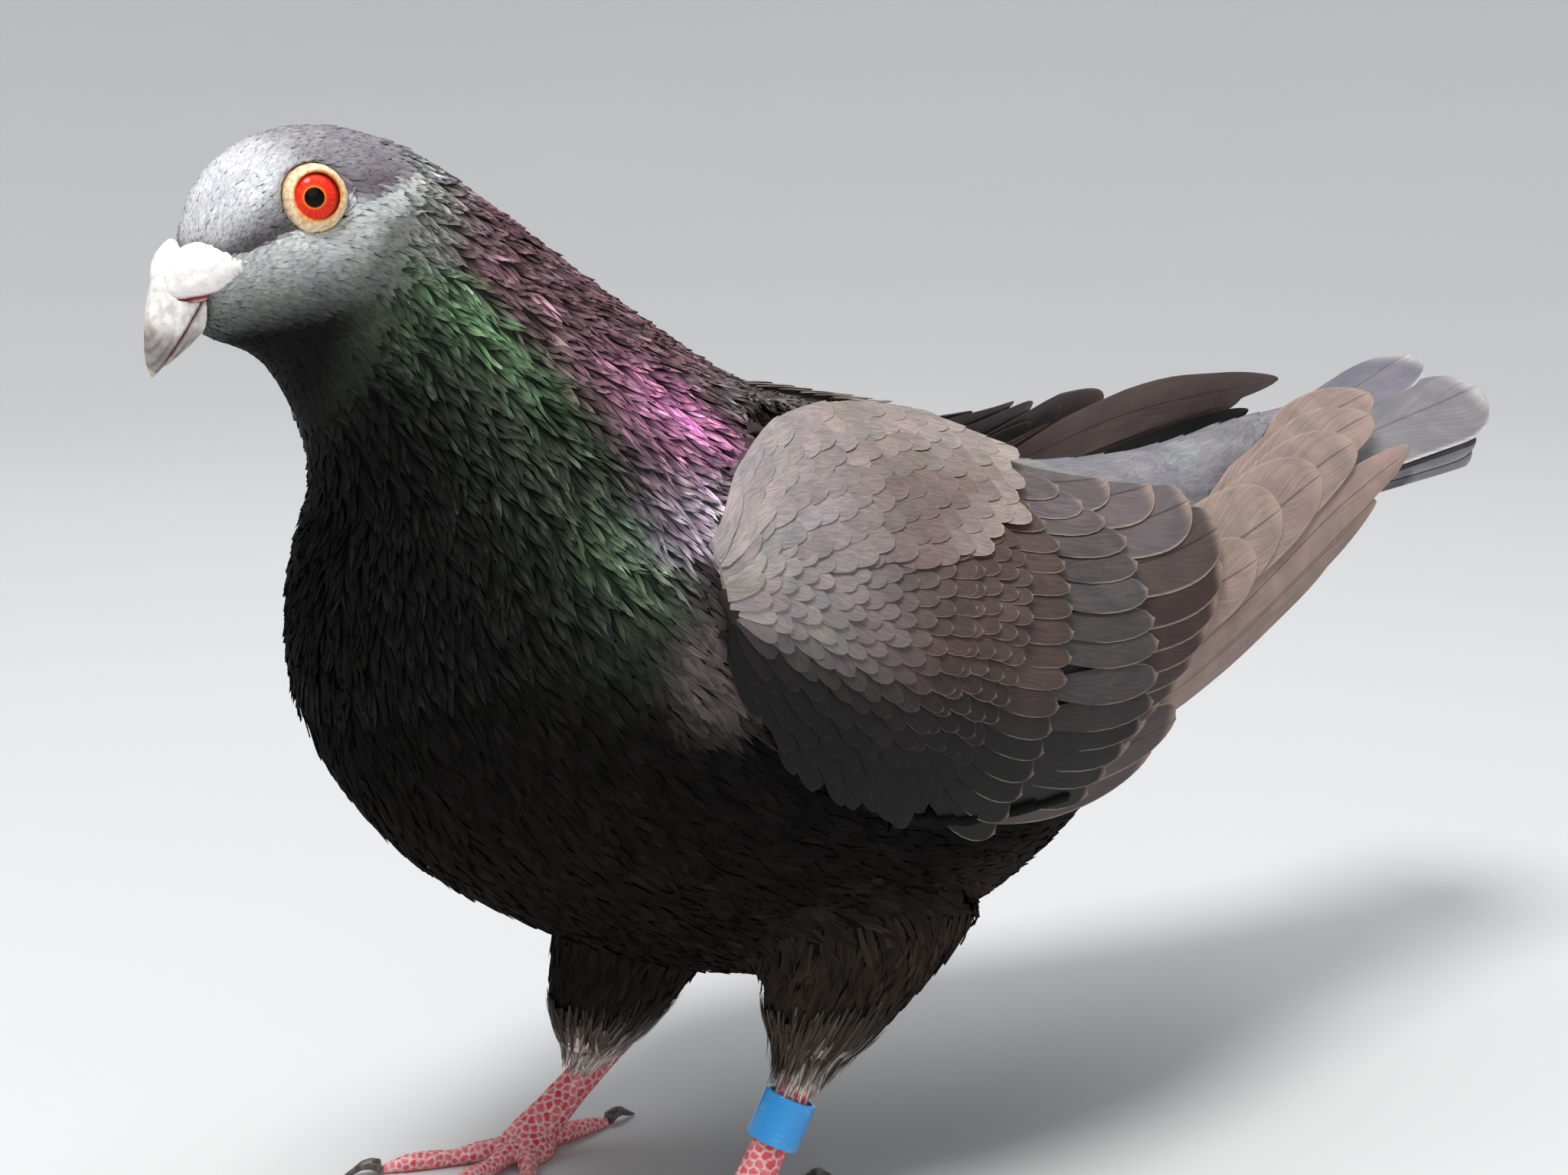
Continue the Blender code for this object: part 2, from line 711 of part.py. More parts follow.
def claw(name, side, angle, length):
    """A curved, tapering claw that runs on from its toe down to the floor."""
    start, ahead = toe_line(side, angle)
    root = start + ahead * (BALL_RADIUS + length + GAP)
    stations = []
    steps = 4
    for k in range(steps + 1):
        t = k / steps
        radius = CLAW_RADIUS * (1 - t) ** 0.8 + 0.16 * MM
        height = 1.5 * MM + 0.9 * MM * math.sin(math.pi * min(t * 1.25, 1)) - 1.2 * MM * t * t
        centre = root + ahead * CLAW_LENGTH * t + Vector((0, 0, max(height, radius * 0.9)))
        stations.append((centre, ahead, radius))
    return level_tube(name, stations, 6)


def make_legs():
    """Each leg is a thigh, a shank, the ball of the foot, and four toes with their claws."""
    body_room = cutter("body_room", body_length("body_room", NECK_END, len(RIBS) - 1, GAP))
    for name, _ in SIDES:
        upper = keep("thigh_" + name, thigh("thigh_" + name, name), "plumage")
        cut(upper, body_room)
        keep("foot_" + name, ball_of_foot("foot_" + name, name), "skin")
        foot_room = cutter("foot_room_" + name, ball_of_foot("foot_room_" + name, name, GAP))
        lower = keep("shank_" + name, shank("shank_" + name, name), "skin")
        shank_room = cutter("shank_room_" + name, shank("shank_room_" + name, name, GAP))
        cut(lower, cutter("thigh_room_" + name, thigh("thigh_room_" + name, name, GAP)))
        cut(lower, foot_room)
        for toe_name, angle, length, pads in TOES:
            label = toe_name + "_" + name
            digit = keep("toe_" + label, toe("toe_" + label, name, angle, length, pads), "skin")
            cut(digit, foot_room)
            if toe_name == "hind":
                cut(digit, shank_room)
            keep("claw_" + label, claw("claw_" + label, name, angle, length), "claw")


def make_ring():
    """A plain band round the left shank."""
    low, high = shank_line("left")
    half = RING_LENGTH / 2
    bore = RING_RADIUS - RING_WALL
    bevel = RING_WALL / 3
    profile = (
        (bore, -half), (RING_RADIUS - bevel, -half), (RING_RADIUS, -half + bevel),
        (RING_RADIUS, half - bevel), (RING_RADIUS - bevel, half), (bore, half),
    )
    band = keep("leg_ring", revolve("leg_ring", profile, 18), "ring")
    turn = (high - low).to_track_quat("Z", "Y").to_matrix().to_4x4()
    band.matrix_local = Matrix.Translation(low.lerp(high, RING_PLACE)) @ turn


def stand_on_origin():
    """Moves the whole pigeon so that the middle of its outline's underside is at the origin."""
    bpy.context.view_layer.update()
    graph = bpy.context.evaluated_depsgraph_get()
    corners = []
    for piece in PIGEON.objects:
        if piece.type == "MESH":
            shape = piece.evaluated_get(graph)
            corners += [shape.matrix_world @ vert.co for vert in shape.data.vertices]
    low, high = (Vector(f(c[k] for c in corners) for k in range(3)) for f in (min, max))
    ROOT.location = (-(low.x + high.x) / 2, -(low.y + high.y) / 2, -low.z)


body_head, body_neck, body_trunk = make_body()
make_eyes(body_head)
make_bill()
body_tail = make_tail(body_trunk)
make_wings((body_neck, body_trunk, body_tail))
make_legs()
make_ring()
stand_on_origin()
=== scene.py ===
"""A pigeon's looks, over its CAD frame: a skin under feather vanes, and its eyes, bill, legs and leg ring.

The bird faces -Y with its left side towards +X. Lengths are in metres unless a name or a table says mm.
"""

import math

import bmesh
import bpy
import numpy as np
from mathutils import Matrix, Vector, kdtree
from mathutils.bvhtree import BVHTree


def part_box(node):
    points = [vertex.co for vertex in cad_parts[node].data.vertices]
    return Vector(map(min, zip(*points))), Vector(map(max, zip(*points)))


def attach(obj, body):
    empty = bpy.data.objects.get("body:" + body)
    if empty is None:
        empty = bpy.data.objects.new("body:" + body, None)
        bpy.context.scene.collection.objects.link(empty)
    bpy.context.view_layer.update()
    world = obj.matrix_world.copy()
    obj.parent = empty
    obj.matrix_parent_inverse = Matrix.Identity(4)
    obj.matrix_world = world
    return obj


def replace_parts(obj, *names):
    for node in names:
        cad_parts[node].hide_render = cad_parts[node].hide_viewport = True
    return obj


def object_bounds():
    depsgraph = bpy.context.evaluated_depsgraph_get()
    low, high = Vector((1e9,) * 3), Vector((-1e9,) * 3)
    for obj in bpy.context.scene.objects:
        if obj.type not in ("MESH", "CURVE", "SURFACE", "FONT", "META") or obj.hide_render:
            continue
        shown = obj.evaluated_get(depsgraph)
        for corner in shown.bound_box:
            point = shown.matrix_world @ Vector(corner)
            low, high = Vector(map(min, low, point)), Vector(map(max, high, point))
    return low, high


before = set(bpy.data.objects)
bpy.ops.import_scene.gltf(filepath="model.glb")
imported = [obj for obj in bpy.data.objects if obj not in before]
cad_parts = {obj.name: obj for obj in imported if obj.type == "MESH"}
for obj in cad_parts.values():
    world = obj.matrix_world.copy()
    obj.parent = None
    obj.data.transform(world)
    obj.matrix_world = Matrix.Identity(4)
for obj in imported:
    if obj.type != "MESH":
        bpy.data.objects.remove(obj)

CAD_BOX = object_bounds()
MM = 0.001
TAU = 2 * math.pi
SIDES = (("left", 1), ("right", -1))
RNG = np.random.default_rng(7)

# The design's own measures, in mm, shared with the CAD.
# Ribs of the body: (front y, front z, back y, back z, half width), from the face to the tail.
RIBS = np.array((
    (3.6, 165.2, 1.6, 179, 5), (6.5, 163.8, 2.8, 185.5, 7.6), (11, 162.5, 7, 191.8, 9.8),
    (15.5, 159.5, 15.5, 196.5, 11.3), (18.5, 155.5, 27, 197.6, 12.4), (21.5, 149.5, 41, 194, 14),
    (25, 142, 55.5, 185.5, 17), (26, 134, 74, 172.5, 22), (23.5, 125, 93, 159.5, 29),
    (22.3, 112.5, 110, 149.5, 35.5), (24.5, 98.5, 125, 145.5, 40.5), (31, 84.5, 138, 142.5, 43.5),
    (42.5, 71, 150, 138, 45.5), (58.5, 59.5, 160, 133.5, 46), (77, 49.5, 170, 131, 45.5),
    (96, 42, 180, 129.5, 43.5), (118, 38, 190, 128.5, 40), (139, 38.5, 200, 128, 34.5),
    (160, 43, 210, 128.5, 28), (178, 52, 219, 129.5, 21.5), (193, 66, 227, 131, 16.5),
    (208, 86, 237, 132.5, 13), (224, 107, 248, 133.5, 10), (238, 119, 258, 133.5, 7.5),
    (250, 125.5, 267, 132.5, 4.5),
))
LAST_RIB = len(RIBS) - 1
HEAD_END = 5.6
NECK_END = 9.2
# Rows across the left wing's outer face: (y, top x, z, middle x, z, lower x, z).
WING_ROWS = np.array((
    (74, 43, 131, 47, 122, 45, 112), (85, 35, 141, 49.5, 122, 47, 95),
    (100, 25, 147, 51, 118, 48, 83), (120, 17, 147.5, 51.5, 115, 47, 75),
    (140, 15, 144, 50.5, 112, 45.5, 73.5), (160, 15.5, 139.5, 47.5, 109, 43.5, 74),
    (180, 16.5, 138.5, 43, 109, 43, 79.5), (200, 17, 140.5, 38, 113, 41, 88.5),
    (220, 16, 142.5, 33.5, 119, 37.5, 98), (240, 14, 143, 29, 125, 33, 106.5),
    (260, 12, 143, 26, 130, 29, 116), (276, 12, 143, 22, 133.5, 25, 125),
))
WING_FRONT, WING_REAR = 74, 276
# Where each wing's feathers start, as (y, share of the way down its outer face). The right wing's reach a
# little higher than its solids, where loose feathers stand up from it.
UPPER_EDGES = {
    1: np.array((
        (74, 0), (140, 0), (160, 0.085), (180, 0.15), (198, 0.22), (214, 0.2), (234, 0.14), (276, 0.07),
    )),
    -1: np.array(((74, 0), (150, 0), (176, -0.02), (200, -0.06), (225, -0.04), (250, 0), (276, 0))),
}
# Rows along the tail: (y, height of its middle, half width, drop of its edges, roll to the left in degrees).
TAIL_ROWS = np.array((
    (204, 116, 11, 2, 0), (230, 120, 16, 4, 1), (258, 126, 20.5, 5, 4),
    (285, 134.5, 24.5, 6.5, 11), (304, 139.5, 23.5, 6.5, 15),
))
TAIL_START, TAIL_END, TAIL_ROUNDING = 206.0, 298.5, 20
HEAD_TURN = math.radians(7)
TURN_PIVOT = Vector((0, 75 * MM, 0))
EYE_CENTRE = Vector((7.6, 19.5, 186.1)) * MM
EYE_RADIUS = 5.0 * MM
EYE_FORWARD = math.radians(17)
EYE_UP = math.radians(5)
GAZE_FORWARD = math.radians(27)
# The eyelid ring's radii, in mm.
LID_INNER, LID_OUTER = 3.6, 4.9
BILL_SLOPE = math.radians(58)
RING_RADIUS = 4.9 * MM
RING_WALL = 0.9 * MM
RING_LENGTH = 9.0 * MM
FOOT_HEIGHT = 3.5 * MM

# Depth of the coat over the skin, in mm: on the face, the neck, the body and under the wing's coverts.
FACE_COAT = 0.7
NECK_COAT = 1.4
BODY_COAT = 1.8
WING_COAT = 3.4

# Camera
CAMERA_AZIMUTH = math.radians(54)
CAMERA_HEIGHT = math.radians(12)
CAMERA_PLACE = Vector((398.08, -169.12, 215.3)) * MM
LENS = 63.28
SENSOR = 36.0


def turned(point):
    """A point of the head in the design's frame, turned to the left."""
    return Matrix.Rotation(HEAD_TURN, 3, "Z") @ (point - TURN_PIVOT) + TURN_PIVOT


def middle(node):
    low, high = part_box(node)
    return (low + high) / 2


def in_mm(box):
    """The low and the high corner of a box, in mm."""
    return (np.array(corner) / MM for corner in box)


# The frame's origin, seen from the design's: the left eye lies at a known place in both.
SHIFT = middle("eye_left") - turned(EYE_CENTRE)
SHIFT_MM = np.array(SHIFT) / MM


def smooth(t):
    t = np.clip(t, 0, 1)
    return t * t * (3 - 2 * t)


def bump_at(value, centre, spread):
    """A soft hump of height 1 at the centre."""
    return np.exp(-(((value - centre) / spread) ** 2))


def spline(rows, place):
    """Rows at many places along a table, by a smooth curve through its rows."""
    last = len(rows) - 1
    i = np.clip(place.astype(int), 0, last - 1)
    t = (place - i)[..., None]
    a, b, c, d = (rows[np.clip(i + k, 0, last)] for k in (-1, 0, 1, 2))
    return 0.5 * (2 * b + (c - a) * t + (2 * a - 5 * b + 4 * c - d) * t**2 + (3 * b - a - 3 * c + d) * t**3)


def at_first(rows, value):
    """The places along a table where its first column has these values."""
    return np.interp(value, rows[:, 0], np.arange(len(rows)))


def unit(v):
    return v / np.maximum(np.linalg.norm(v, axis=-1, keepdims=True), 1e-12)


# Body measure: every point of the coat has a place along the ribs and an angle round the body


def body_points(place, angle):
    """Points of the body's outline, in mm in the frame; angle 0 is the back and pi is the belly."""
    front_y, front_z, back_y, back_z, half_width = np.moveaxis(spline(RIBS, place), -1, 0)
    middle_y, middle_z = (front_y + back_y) / 2, (front_z + back_z) / 2
    y = middle_y + (back_y - front_y) / 2 * np.cos(angle)
    z = middle_z + (back_z - front_z) / 2 * np.cos(angle)
    x = half_width * np.sin(angle) * (1 + 0.08 * np.cos(angle))
    share = 1 - smooth((place - HEAD_END + 1) / (NECK_END - HEAD_END + 1))
    turn = HEAD_TURN * share
    pivot = TURN_PIVOT.y / MM
    turned_x = x * np.cos(turn) - (y - pivot) * np.sin(turn)
    turned_y = x * np.sin(turn) + (y - pivot) * np.cos(turn) + pivot
    return np.stack((turned_x, turned_y, z), -1) + SHIFT_MM


def tree_of(points):
    tree = kdtree.KDTree(len(points))
    for k, point in enumerate(points):
        tree.insert(point, k)
    tree.balance()
    return tree


def nearest(tree, points):
    """The index of the tree's nearest point, and its distance, for each point."""
    found = [tree.find(point)[1:] for point in points]
    return np.array([f[0] for f in found]), np.array([f[1] for f in found])


class BodyMeasure:
    """Looks up the place, the angle and the lie of the feathers at any point near the body."""

    def __init__(self):
        self.place, self.angle = (
            grid.ravel()
            for grid in np.meshgrid(np.linspace(0, LAST_RIB, 150), np.linspace(0, TAU, 72, False))
        )
        self.points = body_points(self.place, self.angle)
        ahead, behind = (body_points(self.place + step, self.angle) for step in (0.05, -0.05))
        self.lie = unit(ahead - behind)
        self.tree = tree_of(self.points)

    def __call__(self, points):
        """The place, the angle and the lie at points, each a mean over the four nearest known places."""
        near = [self.tree.find_n(point, 4) for point in points]
        index = np.array([[found[1] for found in four] for four in near])
        weight = 1 / (np.array([[found[2] for found in four] for four in near]) + 0.2) ** 2
        weight /= weight.sum(1, keepdims=True)
        turn = [(f(self.angle[index]) * weight).sum(1) for f in (np.sin, np.cos)]
        lie = (self.lie[index] * weight[..., None]).sum(1)
        return (self.place[index] * weight).sum(1), np.arctan2(*turn) % TAU, unit(lie)


# Wing and tail measure


def wing_outer(y, v):
    """Points of the left wing's outer face, in mm in the design's frame."""
    row = spline(WING_ROWS, at_first(WING_ROWS, y))
    weights = (2 * v * v - 3 * v + 1, 4 * v - 4 * v * v, 2 * v * v - v)
    x = sum(row[..., 1 + 2 * k] * w for k, w in enumerate(weights))
    z = sum(row[..., 2 + 2 * k] * w for k, w in enumerate(weights))
    return np.stack((x, y, z), -1)


def wing_points(y, v, depth, side):
    """Points a depth below the wing's outer face, in mm in the frame."""
    return wing_outer(y, v) * (side, 1, 1) - wing_normals(y, v, side) * depth[..., None] + SHIFT_MM


def wing_normals(y, v, side):
    """The way out of the wing's outer face."""
    down = wing_outer(y, v + 0.01) - wing_outer(y, v - 0.01)
    back = wing_outer(y + 0.5, v) - wing_outer(y - 0.5, v)
    return unit(np.cross(down, back)) * (side, 1, 1)


def wing_height(y):
    """The distance from the wing's upper edge to its lower edge, in mm."""
    top, centre, low = (wing_outer(y, np.full_like(y, v)) for v in (0, 0.5, 1))
    return np.linalg.norm(top - centre, axis=-1) + np.linalg.norm(centre - low, axis=-1)


def tail_points(y, a, depth):
    """Points below the tail's upper face, in mm in the frame; a runs from -1, its right edge, to 1."""
    row = spline(TAIL_ROWS, at_first(TAIL_ROWS, y))
    height, half, drop, roll = (row[..., k] for k in (1, 2, 3, 4))
    roll = np.radians(roll)
    x, z = a * half, -drop * a * a - depth
    turned_x, turned_z = x * np.cos(roll) + z * np.sin(roll), z * np.cos(roll) - x * np.sin(roll)
    return np.stack((turned_x, y, height + turned_z), -1) + SHIFT_MM


def shield_front(v):
    return WING_FRONT + 9 * (2 * v - 1) ** 2


def on_side(y, v, side):
    """A share down the left wing's outer face, carried to a side and kept below that wing's upper edge.

    The tips of the longest feathers may pass the edge a little.
    """
    left, edge = (np.interp(y, *UPPER_EDGES[k].T) for k in (1, side))
    lowest = -0.16 * smooth((y - 222) / 22)
    return edge + (1 - edge) * np.maximum(v - left, lowest) / (1 - left)


# Markings, shared by the skin and the coat


def rgb(*parts):
    """A linear colour."""
    return np.array(parts)


FOREHEAD = rgb(0.56, 0.58, 0.62)
CROWN = rgb(0.25, 0.245, 0.27)
CROWN_BACK = rgb(0.21, 0.20, 0.23)
EYE_PATCH = rgb(0.125, 0.105, 0.12)
PALE_STREAK = rgb(0.50, 0.53, 0.53)
LORE = rgb(0.080, 0.077, 0.083)
LORE_LINE = rgb(0.075, 0.035, 0.035)
CHEEK = rgb(0.57, 0.60, 0.60)
CHEEK_LOW = rgb(0.14, 0.152, 0.148)
NECK_SIDE = rgb(0.145, 0.160, 0.148)
CHIN = rgb(0.007, 0.0065, 0.007)
CHARCOAL = rgb(0.0048, 0.0046, 0.0047)
NECK_GREEN = rgb(0.044, 0.055, 0.040)
# A painted sheen: the bright green glints on the sides of the neck.
PAINTED_GREEN_SHEEN = rgb(0.17, 0.30, 0.16)
NAPE = rgb(0.32, 0.33, 0.32)
NECK_GREY = rgb(0.13, 0.115, 0.115)
NECK_PURPLE = rgb(0.23, 0.135, 0.16)
NECK_ROSE = rgb(0.66, 0.25, 0.50)
NECK_BASE = rgb(0.68, 0.58, 0.72)
BELLY = rgb(0.0078, 0.0068, 0.0062)
THIGH = rgb(0.028, 0.021, 0.017)
MANTLE = rgb(0.235, 0.20, 0.19)
RUMP = rgb(0.19, 0.188, 0.21)
VENT = rgb(0.045, 0.045, 0.05)
WING_BEND = rgb(0.115, 0.095, 0.095)


def head_places(points):
    """Points of the frame in the head's own unturned measure, in mm."""
    pivot = np.array(TURN_PIVOT) / MM
    untwist = np.array(Matrix.Rotation(-HEAD_TURN, 3, "Z"))
    return (points - SHIFT_MM - pivot) @ untwist.T + pivot


def mixed(colour, other, share):
    """A colour moved towards another by a share, at each point."""
    return colour + (other - colour) * np.clip(share, 0, 1)[..., None]


def painted(colour, *layers):
    """A colour under layers laid over it in turn, each a colour and its share at each point."""
    for tone, share in layers:
        colour = mixed(colour, tone, share)
    return colour


def face_markings(points):
    """The head's colour, by distances back from the eye and above it."""
    local = head_places(points)
    back = local[:, 1] - EYE_CENTRE.y / MM
    above = local[:, 2] - EYE_CENTRE.z / MM
    rear = np.maximum(back, 0)
    # The cheek darkens downwards, and the side of the neck behind it stays grey.
    depth = 2.2 + 0.3 * back + 0.3 * rear - above
    chin = mixed(CHIN, NECK_GREEN, smooth((back + 1) / 9))
    # The pale forehead rises from the dark lore, whose lower edge runs from the mouth to the eye.
    line = above + 1.4 - 0.51 * back
    front = smooth((1.0 - back - 0.25 * above) / 6) * smooth(line / 0.8 + 0.5)
    tone = mixed(LORE, FOREHEAD, smooth((line - 1 - 0.25 * np.minimum(back + 9, 0)) / 7))
    # A pale streak runs back under the eye.
    streak = above + 3.1 - 0.42 * back
    width = 3.6 + 0.06 * rear
    pale = smooth((0.7 - streak) / 0.9) * smooth((streak + 1.3 * width) / width)
    return painted(
        CHEEK,
        (CHEEK_LOW, smooth((depth - 7) / 8.5)),
        (chin, smooth((depth - 13.5 - 0.4 * rear) / 6.5)),
        (NECK_SIDE, smooth((back - 5) / 6) * smooth((above + 14.5) / 6)),
        (CROWN, smooth((above + 0.5) / 3.5)),
        (CROWN_BACK, smooth((back - 2 + 0.4 * above) / 9) * smooth((above + 3.5 - 0.2 * back) / 3)),
        (mixed(tone, CROWN, smooth((above - 2.5) / 10)), front),
        (LORE_LINE, 0.5 * bump_at(line, 0.1, 0.45) * smooth((-5 - back) / 3)),
        (EYE_PATCH, bump_at(back, 9, 6) * bump_at(above, 1.8 + 0.1 * back, 2.4)),
        (PALE_STREAK, pale * smooth((back + 4) / 6) * (1 - 0.95 * smooth((back - 13) / 16))),
    )


def markings(points, place, angle):
    """The plumage's colour at points of the body."""
    up = (1 + np.cos(angle)) / 2
    # The neck: green at the sides, purple over the nape, rose and bluish purple round the base, and patches
    # of painted green sheen.
    along = smooth((place - 3.9) / 0.9) * (1 - smooth((place - 9.8) / 1.4))
    dull = along * bump_at(up, 0.47, 0.15) * (1 - 0.3 * smooth((place - 6.5) / 2))
    # Painted sheen: patches of bright green highlight on the neck's sides.
    bright = bump_at(place, 5.8, 1.1) * bump_at(up, 0.60, 0.09)
    bright += 0.12 * bump_at(place, 5.2, 0.7) * bump_at(up, 0.38, 0.1)
    bright += 0.5 * bump_at(place, 8.9, 0.6) * bump_at(up, 0.47, 0.06)
    neck = painted(
        CHARCOAL,
        (NECK_GREEN, dull),
        (PAINTED_GREEN_SHEEN, bright),
        (NECK_PURPLE, along * smooth((up - 0.58 + 0.03 * (place - 7)) / 0.16)),
        (NAPE, smooth((up - 0.54) / 0.16) * (1 - smooth((place - 4.9) / 1.0))),
        (NECK_ROSE, bump_at(place, 8.1, 0.65) * bump_at(up, 0.77, 0.075)),
        (NECK_BASE, bump_at(place, 9.1, 0.55) * bump_at(up, 0.63, 0.10) * 0.9),
    )
    shade = 1 - 0.35 * smooth((place - 5.6) / 0.6) * smooth((up - 0.74) / 0.12)
    # The small feathers over the bend of the wing.
    out, y, z = np.abs(points[:, 0]), points[:, 1] - SHIFT_MM[1], points[:, 2]
    bend = smooth((out - 36) / 4) * smooth((y - 60 - 0.25 * np.abs(z - 112)) / 12) * smooth((z - 97) / 14)
    return painted(
        neck * shade[:, None],
        (NECK_GREY, smooth((place - 7.7) / 0.8) * smooth((up - 0.82) / 0.08)),
        (MANTLE, smooth((place - 10.1) / 0.9) * smooth((up - 0.55) / 0.3)),
        (RUMP, smooth((place - 12.2) / 1.6) * smooth((up - 0.5) / 0.3)),
        (BELLY, smooth((place - 9) / 3) * smooth((0.45 - up) / 0.3)),
        (VENT, smooth((place - 19.5) / 2) * smooth((0.5 - up) / 0.3)),
        (THIGH, smooth((72 - z) / 22) * smooth((y - 80) / 30)),
        (WING_BEND, bend * (1 - smooth((z - 140) / 6)) * (place > 8.5)),
        (face_markings(points), 1 - smooth((place - 3.7 - 0.7 * up) / 1.7)),
    )


# Meshes


def inside_box(points):
    """Points kept in the model's own box."""
    low, high = in_mm(CAD_BOX)
    return np.clip(points, low + 0.02, high - 0.02)


def linked(name, data):
    """A new object in the scene."""
    thing = bpy.data.objects.new(name, data)
    bpy.context.scene.collection.objects.link(thing)
    return thing


def new_object(name, mesh, material):
    piece = linked(name, mesh)
    mesh.materials.append(material)
    mesh.shade_smooth()
    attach(piece, "root")
    return piece


def colour_layer(mesh, colours, alpha=1.0):
    layer = mesh.color_attributes.new("tint", "FLOAT_COLOR", "POINT")
    full = np.ones((len(mesh.vertices), 4), np.float32)
    full[:, :3] = colours
    full[:, 3] = alpha
    layer.data.foreach_set("color", full.ravel())


# The size of one vane's patch on the OFBake unwrap.
BAKE_PATCH = 0.003


def vanes(name, points, across, along, tint, edge, patch, material, under=None):
    """One mesh of many feather vanes.

    points is (vanes, stations, columns, 3) in mm. across and along are each vertex's place on its vane, from
    -1 to 1 and from 0 to 1. tint is a vane's colour, edge its rim's strength, and patch its root's place on
    the skin's unwrap. under gives normals to shade by in part, with their share.
    """
    count, stations, columns = points.shape[:3]
    seed = RNG.random(count)
    grid = np.arange(count * stations * columns).reshape(count, stations, columns)
    corners = (grid[:, :-1, :-1], grid[:, :-1, 1:], grid[:, 1:, 1:], grid[:, 1:, :-1])
    loops = np.stack(corners, -1).reshape(-1)
    quads = len(loops) // 4
    mesh = bpy.data.meshes.new(name)
    mesh.vertices.add(grid.size)
    mesh.loops.add(len(loops))
    mesh.polygons.add(quads)
    mesh.vertices.foreach_set("co", (inside_box(points).reshape(-1) * MM).astype(np.float32))
    mesh.loops.foreach_set("vertex_index", loops.astype(np.int32))
    mesh.polygons.foreach_set("loop_start", np.arange(0, quads * 4, 4, dtype=np.int32))
    mesh.update(calc_edges=True)
    vane = np.stack([np.broadcast_to(g, grid.shape) for g in (across, along)], -1).reshape(-1, 2)
    low, high = patch.min(0), patch.max(0)
    place = 0.01 + 0.98 * (patch - low) / np.maximum(high - low, 1e-9)
    place, tint, edge, seed = (np.repeat(part, stations * columns, 0) for part in (place, tint, edge, seed))
    spread = place + (vane * (0.5, 1) - (0, 0.5)) * BAKE_PATCH
    for layer, uv in (("vane", vane), ("OFBake", spread)):
        mesh.uv_layers.new(name=layer).uv.foreach_set("vector", uv[loops].ravel().astype(np.float32))
    mesh.uv_layers.active_index = 1
    colour_layer(mesh, tint, edge)
    mesh.attributes.new("seed", "FLOAT", "POINT").data.foreach_set("value", seed.astype(np.float32))
    piece = new_object(name, mesh, material)
    if under:
        smoothed, share = under
        own, smoothed = vertex_normals(mesh), smoothed.reshape(-1, 3)
        own *= np.sign((own * smoothed).sum(1, keepdims=True))
        mesh.normals_split_custom_set_from_vertices(unit(own * (1 - share) + smoothed * share))
    return piece


def vane_grid(stations, columns):
    """Places along a vane, 0 to 1, that crowd towards its tip, and across it, -1 to 1."""
    a = np.linspace(-1, 1, columns)[None, None, :]
    return (1 - (1 - np.linspace(0, 1, stations)) ** 1.6)[None, :, None], np.sign(a) * np.abs(a) ** 0.8


def outline(t, widest, blunt, root=0.45):
    """A vane's half width along it, 0 to 1: it widens from its root and rounds off at its tip."""
    rise = root + (1 - root) * np.sin(np.pi / 2 * np.clip(t / widest, 0, 1))
    fall = np.clip(1 - np.clip((t - widest) / (1 - widest), 0, 1) ** blunt, 0, 1) ** 0.5
    return rise * fall


# Materials


class Nodes:
    """Short calls for a material's nodes."""

    def __init__(self, name):
        self.material = bpy.data.materials.new(name)
        self.material.use_nodes = True
        self.tree = self.material.node_tree
        self.shader = self.tree.nodes["Principled BSDF"]

    def add(self, kind, inputs=(), **settings):
        node = self.tree.nodes.new("ShaderNode" + kind)
        for key, value in settings.items():
            setattr(node, key, value)
        for key, value in dict(inputs).items():
            self.put(node.inputs[key], value)
        return node

    def put(self, socket, value):
        if isinstance(value, bpy.types.NodeSocket):
            self.tree.links.new(value, socket)
        elif isinstance(value, bpy.types.Node):
            self.tree.links.new(value.outputs[0], socket)
        else:
            socket.default_value = value

    def math(self, operation, *values, clamp=False):
        return self.add("Math", dict(enumerate(values)), operation=operation, use_clamp=clamp).outputs[0]

    def times(self, first, second):
        return self.math("MULTIPLY", first, second)

    def ramp(self, value, low, high):
        """0 below low, 1 above high, smooth between."""
        inputs = {"Value": value, "From Min": low, "From Max": high}
        return self.add("MapRange", inputs, interpolation_type="SMOOTHSTEP").outputs[0]

    def mix(self, share, first, second, blend="MIX"):
        node = self.add("Mix", data_type="RGBA", blend_type=blend, clamp_factor=True)
        self.put(node.inputs[0], share)
        self.put(node.inputs[6], first if not isinstance(first, tuple) else (*first, 1))
        self.put(node.inputs[7], second if not isinstance(second, tuple) else (*second, 1))
        return node.outputs[2]

    def shaded(self, colour, factor):
        return self.mix(1.0, colour, factor, "MULTIPLY")

    def noise(self, vector, scale, detail=2.0, rough=0.5):
        inputs = {"Vector": vector, "Scale": scale, "Detail": detail, "Roughness": rough}
        return self.add("TexNoise", inputs).outputs[0]

    def place(self):
        return self.add("TexCoord").outputs["Object"]

    def attribute(self, name, output="Color"):
        return self.add("Attribute", attribute_name=name).outputs[output]

    def bump(self, height, strength, distance):
        inputs = {"Height": height, "Strength": strength, "Distance": distance}
        self.put(self.shader.inputs["Normal"], self.add("Bump", inputs))

    def finish(self, colour, roughness, **fixed):
        self.put(self.shader.inputs["Base Color"], colour)
        self.put(self.shader.inputs["Roughness"], roughness)
        for key, value in fixed.items():
            self.shader.inputs[key.replace("_", " ")].default_value = value
        return self.material


